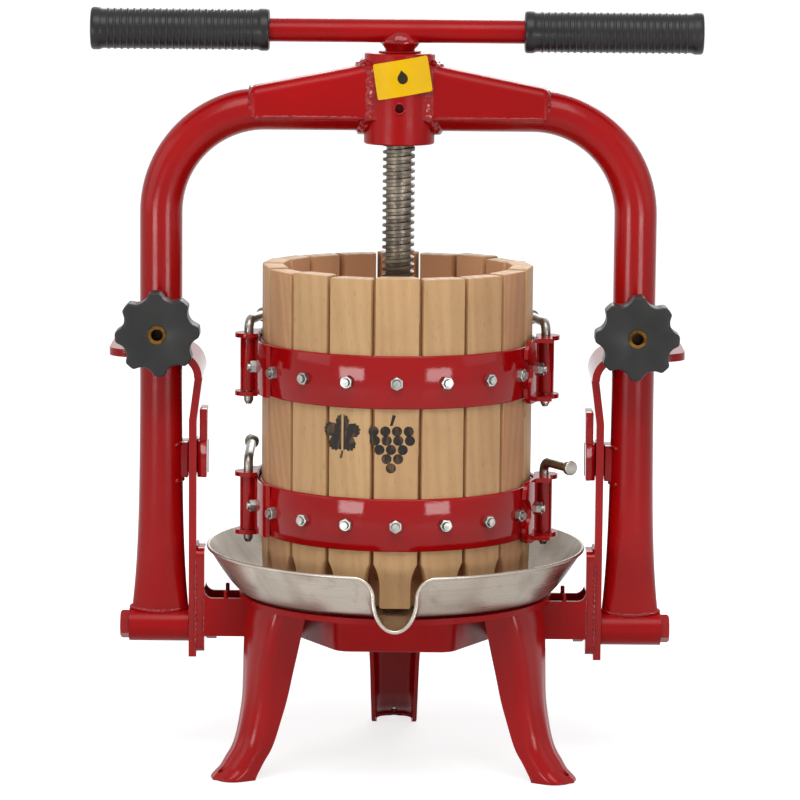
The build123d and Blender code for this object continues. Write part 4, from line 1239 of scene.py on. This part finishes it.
def gusset_mesh(name, sign):
    bm = bmesh.new()
    loops = []
    spots = [gusset_start + (gusset_end - gusset_soft - gusset_start) * step / 16 for step in range(17)]
    spots += [gusset_end - gusset_soft * (1 - step / 6) for step in range(1, 7)]
    for x in spots:
        top = gusset_high + (gusset_end_top - gusset_high) * x / gusset_end
        past = max(0.0, (x - gusset_end + gusset_soft) / gusset_soft)
        tuck = gusset_tuck * (1 - math.sqrt(max(0.0, 1 - past**2)))
        swell = swell_tall * math.exp(-(((x - seam_x) / swell_long) ** 2))
        loops.append(saddle_outline(sign * x, top - tuck + swell, gusset_half - tuck + swell * 0.5))
    skin(bm, loops, caps=True)
    return as_mesh(name, bm, 50)


for side, sign in both_sides:
    name = side + "_saddle"
    piece(name, gusset_mesh(name, sign), satin_enamel, "arch", "red_enamel", side + "_arch_gusset")

# %% [markdown]
# ## Weld beads
# A welder joins tube, hub, gussets and plates with short beads. A bead is a bar swept along the joint whose
# thickness ripples: each ripple is one drop of metal laid over the last. The ripples come from a seeded
# random, so the beads look hand-made and stay the same at every run.


# %% A welder
def resample(points, step):
    """Points at even steps along a line."""
    spaced = [points[0].copy()]
    left = step
    for start, end in zip(points, points[1:]):
        length = (end - start).length
        run = left
        while run <= length:
            spaced.append(start.lerp(end, run / length))
            run += step
        left = run - length
    return spaced


def arc(middle, first, second, begin, end, steps=24):
    """Points of an arc that runs in the plane of two directions."""
    turns = [math.radians(begin + (end - begin) * step / steps) for step in range(steps + 1)]
    return [middle + first * math.cos(turn) + second * math.sin(turn) for turn in turns]


class Welder:
    """Lays beads into one mesh and throws its own seeded dice for them."""

    def __init__(self, seed):
        self.bm, self.dice = bmesh.new(), random.Random(seed)

    def bead(self, points, radius, wander=0.12, ripple=0.3):
        """One bead with a radius in millimetres, its wander and ripple given as shares of it."""
        radius *= mm
        line = resample(points, radius * 0.55)
        swell = []
        for index in range(len(line)):
            swell.append(0.8 + ripple * (abs(math.sin(index * 0.6)) + self.dice.uniform(-0.25, 0.25)))
        drift = [[self.dice.uniform(-wander, wander) * radius for axis in range(3)] for point in line]
        swell[0] *= 0.6
        swell[-1] *= 0.6
        line = [point + Vector(aside) for point, aside in zip(line, drift)]
        sweep(self.bm, line, [radius * part for part in swell], 9)

    def straight(self, start, step, radius):
        """A bead from a point along a step."""
        self.bead([start, start + Vector(step)], radius)


# %% [markdown]
# Where an arm meets the hub the seam is too wide for a bead. It is a band of its own that starts on the hub and
# ends on the arm, and smooth noise raises it into lumps.

# %% Seam between arm and hub
seam_on_hub, seam_on_arm, seam_step = 3.2 * mm, 6.5 * mm, 0.9 * mm
seam_rise, seam_sink, seam_depth, seam_columns, seam_fade = 1.2, 0.7, 3 * mm, 12, 6
coarse_lump, fine_lump, fine_share = 3.4 * mm, 1.6 * mm, 0.45
tube_front, tube_up = Vector((0, -tube_radius, 0)), Vector((0, 0, tube_radius))


def seam_line():
    """Points across an arm: down its front, under the tube and up its back."""
    lowest = math.degrees(math.asin((gusset_low - arch_z) / tube_radius))
    half = [Vector((0, -gusset_half, level)) for level in (gusset_high - 5 * mm, gusset_low)]
    half += arc(Vector((0, 0, arch_z)), tube_front, tube_up, lowest - 12, -90, 12)
    return resample(half + [Vector((0, -point.y, point.z)) for point in reversed(half[:-1])], seam_step)


def add_hub_seam(bm, sign):
    line = seam_line()
    last = len(line) - 1
    loops = []
    for index, spot in enumerate(line):
        along = (line[min(index + 3, last)] - line[max(index - 3, 0)]).normalized()
        out = Vector((0, along.z, -along.y))
        on_hub = spot + out * seam_on_hub
        on_hub.x = sign * math.sqrt(hub_radius**2 - on_hub.y**2)
        on_arm = Vector((sign * (math.sqrt(hub_radius**2 - spot.y**2) + seam_on_arm), spot.y, spot.z))
        push = (out + Vector((sign * 0.4, 0, 0))).normalized()
        fade = min(1.0, index / seam_fade, (last - index) / seam_fade)
        loop = []
        for column in range(seam_columns + 1):
            share = column / seam_columns
            point = on_hub.lerp(on_arm, share)
            lump = noise.noise(point / coarse_lump) + noise.noise(point / fine_lump) * fine_share
            loop.append(point + push * ((seam_rise + lump) * math.sin(math.pi * share) * fade - seam_sink) * mm)
        loops.append(loop + [on_arm - push * seam_depth, on_hub - push * seam_depth])
    skin(bm, loops, caps=True)


# %% Welds of the arch
def arch_welds():
    welder = Welder(41)
    fork_shelf = fork_low.z + 25 * mm
    end_x, end_y = gusset_end - 1.4 * mm, tube_radius - 1.4 * mm
    for sign in (-1, 1):
        add_hub_seam(welder.bm, sign)
        for face in (-1, 1):
            skirt = Vector((sign * (seam_x + 3 * mm), face * (gusset_half - 1.6 * mm), gusset_low))
            welder.bead([skirt, Vector((sign * (gusset_end - 3 * mm), skirt.y, skirt.z))], 2.3, 0.05, 0.08)
            end = Vector((sign * end_x, face * end_y, gusset_low + 3 * mm))
            welder.bead([end, Vector((end.x, end.y, arch_z + 4 * mm))], 2.4, 0.1, 0.14)
        for out, radius in ((0.4, 2.8), (3.6, 2.2)):
            reach = hub_radius + out * mm
            roof = Vector((0, 0, gusset_high - 4.2 * mm)) - Vector((0, 0, out * 0.3 * mm))
            welder.bead(arc(roof, Vector((sign * reach, 0, 0)), Vector((0, reach, 0)), -30, 30), radius, 0.3)
        collar = Vector((sign * (gusset_end - 1.2 * mm), 0, arch_z - 0.6 * mm))
        welder.bead(arc(collar, -tube_front, tube_up, 15, 165), 1.9, 0.1, 0.14)
        foot_line = []
        for turn in [*angles(48), 2 * math.pi]:
            depth = foot_depth * 1.03 * math.sin(turn)
            height = pivot_z + math.sqrt(sleeve_radius**2 - depth**2) + 1.0 * mm
            aside = sleeve_x + (foot_half - 1.2 * mm) * math.cos(turn)
            foot_line.append(Vector((sign * aside, depth, height)))
        welder.bead(foot_line, 1.7, 0.12, 0.2)
        for level in (fork_low.z, fork_shelf):
            inward = Vector((sign * -tube_radius, 0, 0))
            welder.bead(arc(Vector((sign * column_x, 0, level)), inward, -tube_front, -45, 75), 1.5)
    return as_mesh("arch_welds", welder.bm, 60)


piece("arch_welds", arch_welds(), weld_enamel, "arch", "red_enamel")


# %% Welds of the stand
def stand_welds():
    welder = Welder(57)
    plate_tall, plate_wide = plate_high.z - plate_low.z, plate_high.y - plate_low.y
    lug_back, strap_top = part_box("lock_lugs")[1].y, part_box("right_lock_strap")[1].z
    for sign in (-1, 1):
        for face in (-1, 1):
            arm_end = Vector((sign * (plate_low.x - 0.2 * mm), face * 14.6 * mm, plate_low.z + 14 * mm))
            welder.straight(arm_end, (0, 0, 26 * mm), 1.4)
        joint = Vector((sign * (plate_high.x + 0.4 * mm), plate_low.y + 2.5 * mm, plate_high.z + 0.6 * mm))
        welder.straight(joint, (0, plate_wide - 5 * mm, 0), 1.5)
        side = Vector((sign * (plate_high.x + 0.2 * mm), -13.0 * mm, plate_low.z + 6 * mm))
        welder.straight(side, (0, 0, plate_tall - 14 * mm), 1.3)
        base = Vector((sign * (column_x - 12 * mm), lug_back + 0.5 * mm, strap_top - 0.6 * mm))
        welder.straight(base, (sign * 24 * mm, 0, 0.5 * mm), 1.4)
        for turn in (210, 330) if sign < 0 else (90,):
            out = polar(1.0, math.radians(turn))
            heel = out * (ring_radius - 7.5 * mm) + Vector((0, 0, ring_bottom - 0.3 * mm))
            across = Vector((-out.y, out.x, 0)) * 17 * mm
            welder.bead([heel - across, heel + across], 1.5)
    return as_mesh("stand_welds", welder.bm, 60)


piece("stand_welds", stand_welds(), weld_enamel, "stand", "red_enamel")

# %% [markdown]
# The handle bar sits on a boss that is little more than one big weld. It is turned from a profile of heights
# and radii in millimetres, and smooth noise makes it lumpy, except at its lower edge.

# %% Boss under the handle
boss_low, boss_fade = -15.3, 3
boss_lump, coarse_grain, fine_grain = 0.06, 5.0, 2.2
boss_profile = [(boss_low, 9.8), (-13.0, 9.9), (-12.0, 10.3), (-11.0, 10.9), (-10.0, 11.7), (-9.0, 12.6)]
boss_profile += [(-8.0, 13.2), (-7.0, 13.3), (-5.5, 12.7), (-4.0, 11.8), (-2.5, 10.7), (-1.0, 9.2)]
boss_profile += [(0.2, 7.4), (0.9, 5.0), (1.1, 2.4)]
bm = bmesh.new()
loops = []
for height, radius in boss_profile:
    loop = []
    for turn in angles(48):
        spot = polar(radius, turn, height)
        lumps = boss_lump * noise.noise(spot / coarse_grain) + boss_lump * noise.noise(spot / fine_grain)
        grow = 1 + lumps * min(1.0, (height - boss_low) / boss_fade)
        loop.append(Vector((spot.x * grow * mm, spot.y * grow * mm, handle_z + height * mm)))
    loops.append(loop)
skin(bm, loops, caps=True)
piece("boss", as_mesh("boss", bm, 60), weld_enamel, "screw", "red_enamel", "handle_boss")

# %% [markdown]
# ## Guide forks
# A fork on each column guides the lock strap. It has a short block beside the tube, a web behind the strap and
# a tall cheek on the far side, whose lower front is slanted and catches the light. Each of them is made of
# blocks with eight corners, and Bevel softens their edges. The blocks differ a little in size, so that no two
# of their faces overlap in one plane, where they would show as black patches.


# %% Guide forks
def add_block(bm, sign, x_range, y_range, z_range, slant=0.0):
    """A block whose front is set back by the slant along the edge that is nearer to the column."""
    (near, far), (front, back) = x_range, y_range
    corners = [(near, front), (far, front + slant), (far, back), (near, back)]
    skin(bm, [[Vector((sign * x, y, z)) for x, y in corners] for z in z_range], caps=True)


def fork_mesh(name, sign):
    back, strap_x = fork_high.y, plate_high.x
    bottom, block_top, top = fork_low.z + 1.5 * mm, fork_low.z + 26 * mm, fork_high.z + 3.5 * mm
    near, far = fork_low.x + 1.3 * mm, strap_x - 0.4 * mm
    block_x, web_x = (strap_x + 6.2 * mm, column_x - 8 * mm), (near, column_x - 7 * mm)
    cheek_x, tall_x = (near + 0.2 * mm, far), (near, far - 1.4 * mm)
    bm = bmesh.new()
    add_block(bm, sign, block_x, (-5 * mm, back - 1.6 * mm), (bottom, block_top))
    add_block(bm, sign, web_x, (back - 4 * mm, back), (bottom + 0.5 * mm, block_top - 0.5 * mm))
    add_block(bm, sign, cheek_x, (fork_low.y, back - 1 * mm), (bottom + 1 * mm, block_top + 1.5 * mm), 2.0 * mm)
    add_block(bm, sign, tall_x, (fork_low.y + 2.5 * mm, back - 1.3 * mm), (block_top + 1.0 * mm, top))
    return finished_mesh(as_mesh(name, bm), "BEVEL", 40, width=0.6 * mm, segments=3)


for side, sign in both_sides:
    name = side + "_fork"
    piece(name, fork_mesh(name, sign), red_enamel, "arch", "red_enamel", side + "_guide_fork")

# %% [markdown]
# ## Sticker on the hub
# A small yellow sticker on the hub tells where to oil the screw, with a plain drop on it. A flat outline is
# turned a little, since it was put on by hand, and then rolled round the hub: across becomes an angle. The
# sticker is stiff, so its roll is wider than the hub and its ends stand off, with one corner curled forward.

# %% Rolling the sticker
left_sheet_radius, right_sheet_radius = hub_radius * 1.45, hub_radius * 2.1
label_across, label_up, label_turn = 2.0 * mm, hub_top - 13.2 * mm, math.radians(10.0)
curl_start, curl_length, curl_rise = 15 * mm, 6 * mm, 0.5 * mm


def rolled(across, up, lift):
    """A flat point of the sticker, turned with it about its middle and rolled round the hub."""
    wide = label_across + across * math.cos(label_turn) - up * math.sin(label_turn)
    level = label_up + across * math.sin(label_turn) + up * math.cos(label_turn)
    radius = left_sheet_radius if wide < 0 else right_sheet_radius
    turn = wide / radius
    curl = max(0.0, (0.8 * wide - 0.6 * (level - label_up) - curl_start) / curl_length)
    forward = radius * (1 - math.cos(turn)) - hub_radius - lift - curl_rise * curl**2
    return Vector((radius * math.sin(turn), forward, level))


def rolled_sheet(name, rows, lift, thickness):
    """Rows of flat points, given as pairs of across and up, made a thin sheet on the hub."""
    bm = bmesh.new()
    skin(bm, [[rolled(across, up, lift) for across, up in row] for row in rows], closed=False)
    for face in bm.faces:
        if face.normal.y > 0:
            face.normal_flip()
    return finished_mesh(as_mesh(name, bm, 60), "SOLIDIFY", 60, thickness=thickness, offset=-1.0)


# %% Sticker and its drop
label_half, label_tall, label_corner, label_steps = 19.4 * mm, 12.2 * mm, 1.6 * mm, 28
label_lift, label_sheet, drop_lift, drop_sheet = 0.22 * mm, 0.14 * mm, 0.34 * mm, 0.1 * mm
rows_of_label = []
for level in (-1, -0.99, -0.97, -0.94, -0.9, -0.5, 0, 0.5, 0.9, 0.94, 0.97, 0.99, 1):
    up = label_tall * level
    short = max(0.0, abs(up) - (label_tall - label_corner))
    reach = label_half - (label_corner - math.sqrt(max(0.0, label_corner**2 - short**2)))
    rows_of_label.append([(reach * (step / label_steps * 2 - 1), up) for step in range(label_steps + 1)])
label = rolled_sheet("oil_sticker", rows_of_label, label_lift, label_sheet)
piece("oil_sticker", label, label_yellow, "arch", None)

drop_half, drop_low, drop_tall = 3.5 * mm, -4.2 * mm, 9.6 * mm
drop_belly, drop_shoulder, drop_tip = 0.4, 0.45, 0.05 * mm
rows_of_drop = []
for step in range(17):
    part = step / 16
    if part < drop_shoulder:
        wide = math.sqrt(max(0.0, 1 - ((part - drop_belly) / drop_belly) ** 2)) * drop_half
    else:
        wide = drop_half * math.cos(math.pi / 2 * (part - drop_belly) / (1 - drop_belly)) ** 1.25
    wide = max(wide, drop_tip)
    rows_of_drop.append([(wide * (column / 5 - 1), drop_low + drop_tall * part) for column in range(11)])
drop = rolled_sheet("sticker_drop", rows_of_drop, drop_lift, drop_sheet)
piece("sticker_drop", drop, label_dark, "arch", None)

# %% [markdown]
# Below the sticker the paint has built up into a small raised ring round the oil hole.

# %% Rim of the oil hole
oil_rim, oil_bead = 3.7 * mm, 0.8 * mm
bm = bmesh.new()
rim_points = []
for turn in angles(28):
    across = oil_rim * math.sin(turn)
    forward = -math.sqrt(hub_radius**2 - across**2)
    rim_points.append(Vector((across, forward, oil_z + oil_rim * math.cos(turn))))
sweep(bm, rim_points, [oil_bead] * len(rim_points), joined=True)
piece("oil_hole_rim", as_mesh("oil_hole_rim", bm, 60), red_enamel, "arch", "red_enamel")

# %% [markdown]
# ## Stencilled marks
# Two staves carry a worn mark, rolled on through a stencil: a leaf and a bunch of grapes. A stencil needs
# bridges, so the leaf is cut into separate pieces with gaps between them. Each mark is a set of flat outlines,
# drawn at size one, that are filled and laid on the face of its stave.


# %% Stencil shapes
def leaf_shapes():
    """A vine leaf with five lobes in two halves, with a gap along its midrib, and a stem."""
    bridge = 0.03
    shapes = []
    for side in (-1, 1):
        edge = [(side * bridge, 0.02)]
        for step in range(41):
            turn = math.radians(-80 + 170 * step / 40)
            lobe = abs(math.cos((turn - math.pi / 2) * 2.5)) ** 0.6
            reach = (0.27 + 0.25 * lobe) * (1 + 0.05 * math.sin(turn * 30))
            edge.append((side * max(bridge, reach * math.cos(turn)), 0.46 + reach * math.sin(turn)))
        shapes.append(edge)
    return [*shapes, [(-0.02, 0.0), (-0.07, -0.2), (0.0, -0.2), (0.03, 0.0)]]


def grape_shapes():
    """A bunch of round grapes, narrower downwards, under a short stem."""
    grape, spacing, row_drop, top_row = 0.112, 0.25, 0.2, 0.62
    shapes = []
    for row, count in enumerate((4, 4, 3, 2, 1)):
        for index in range(count):
            x = (index - (count - 1) / 2) * spacing + 0.03 * (row % 2)
            z = top_row - row * row_drop
            shapes.append([(x + grape * math.cos(turn), z + grape * math.sin(turn)) for turn in angles(14)])
    return [*shapes, [(-0.03, 0.74), (0.03, 0.74), (0.1, 0.96), (0.03, 0.98)]]


# %% Stencilled marks
ink_lift = 0.08 * mm


def mark_mesh(name, shapes, size, stave, across, low):
    """Filled outlines laid on the face of one stave, counted from the middle one."""
    bm = bmesh.new()
    out = polar(1.0, -math.pi / 2 + stave * stave_step)
    side = Vector((-out.y, out.x, 0))
    front = out * (stave_face + ink_lift)
    for shape in shapes:
        spots = [(across + x * size, low + z * size) for x, z in shape]
        corners = [front + side * aside + Vector((0, 0, level)) for aside, level in spots]
        face = bm.faces.new([bm.verts.new(corner) for corner in corners])
        face.normal_update()
        if face.normal.dot(out) < 0:
            face.normal_flip()
    bmesh.ops.triangulate(bm, faces=bm.faces)
    return as_mesh(name, bm, 60)


leaf = mark_mesh("leaf_mark", leaf_shapes(), size=25 * mm, stave=-1, across=-5.0 * mm, low=229 * mm)
piece("leaf_mark", leaf, stencil_ink, "stand", None)
grapes = mark_mesh("grape_mark", grape_shapes(), size=31 * mm, stave=0, across=-3.5 * mm, low=224 * mm)
piece("grape_mark", grapes, stencil_ink, "stand", None)

# %% [markdown]
# ## The stage
# The press stands on a plain pale floor that runs to white. Two small lamps left and right of the camera, near
# the floor, show as windows in the glossy hoops. Two panels light the press from its sides, one from behind,
# and a wide softbox hangs above its front, where it shines into the basket. The floor adds a little glow of its
# own that grows with distance for whatever looks at it, so it reads as white far out and still takes the shadow
# under the press.

# %% Camera
scene.view_settings.view_transform = "Standard"
camera_distance, camera_height, camera_side = 2.700, 0.631, 0.0022
camera_pitch, camera_roll = 8.0, 0.52
focal_pixels, picture_pixels, sensor = 3970.0, 800, 36.0

camera_data = bpy.data.cameras.new("camera")
camera_data.sensor_width = sensor
camera_data.lens = focal_pixels / picture_pixels * sensor
camera_data.clip_end = 200
camera = in_scene("camera", camera_data)
tip = Matrix.Rotation(math.radians(90 - camera_pitch), 4, "X")
roll = Matrix.Rotation(math.radians(camera_roll), 4, "Z")
camera.matrix_world = Matrix.Translation((camera_side, -camera_distance, camera_height)) @ tip @ roll
scene.camera = camera
print("camera lens:", round(camera_data.lens, 1), "mm")


# %% Lamps
def soft_lamp(name, place, aim_z, size, power):
    """A rectangular area lamp that faces a point on the axis of the press."""
    data = bpy.data.lights.new(name, "AREA")
    data.shape = "RECTANGLE"
    data.size, data.size_y = size
    data.energy = power
    direction = Vector((0, 0, aim_z)) - Vector(place)
    facing = direction.to_track_quat("-Z", "Y").to_matrix().to_4x4()
    in_scene(name, data).matrix_world = Matrix.Translation(place) @ facing
    print(name, "gives", power, "W")


soft_lamp("left_window", (-0.84, -1.15, 0.23), aim_z=0.28, size=(0.5, 0.19), power=4.2)
soft_lamp("right_window", (0.78, -1.18, 0.23), aim_z=0.28, size=(0.5, 0.19), power=3.8)
soft_lamp("left_panel", (-1.35, -0.45, 0.75), aim_z=0.3, size=(0.9, 0.9), power=3.4)
soft_lamp("right_panel", (1.35, -0.45, 0.75), aim_z=0.3, size=(0.9, 0.9), power=1.8)
soft_lamp("top_softbox", (0, -0.95, 1.65), aim_z=0.3, size=(1.4, 0.9), power=20)
soft_lamp("back_panel", (0.3, 1.5, 1.1), aim_z=0.3, size=(1.2, 0.8), power=11)


# %% World
def seen_directly(tree):
    """1 for whatever the camera, a reflection or glass sees, 0 for light that only shines on things."""
    rays = tree.add("LightPath").outputs
    seen = rays["Is Camera Ray"]
    for name in ("Is Glossy Ray", "Is Transmission Ray"):
        seen = tree.sums("MAXIMUM", seen, rays[name])
    return seen


sky_light, sky_seen = 0.14, 1.0
white = (1, 1, 1, 1)
world = bpy.data.worlds.new("studio")
scene.world = world
world.use_nodes = True
sky = Tree(world.node_tree)
background = sky.tree.nodes["Background"].inputs
level = sky.add("MapRange", Value=seen_directly(sky), To_Min=sky_light, To_Max=sky_seen).outputs["Result"]
sky.give(background["Color"], white)
sky.give(background["Strength"], level)
print("world lights with", sky_light, "and shows as", sky_seen)

# %% Floor
ground_radius, near_glow, far_glow = 30.0, (0.15, 0.74), (0.6, 1.0)
bm = bmesh.new()
bmesh.ops.create_circle(bm, cap_ends=True, segments=64, radius=ground_radius)
floor = in_scene("floor", as_mesh("floor", bm))
pale = Finish("pale_floor", Base_Color=(0.5, 0.5, 0.5, 1), Roughness=0.9, Specular_IOR_Level=0.0)
from_middle = pale.sums("LENGTH", pale.add("TexCoord").outputs["Object"], kind="VectorMath")
glow = pale.spread(from_middle, near_glow[0], far_glow[0], near_glow[1], far_glow[1])
glow = pale.sums("MULTIPLY", glow, seen_directly(pale))
floor.data.materials.append(pale.done(Emission_Color=white, Emission_Strength=glow))
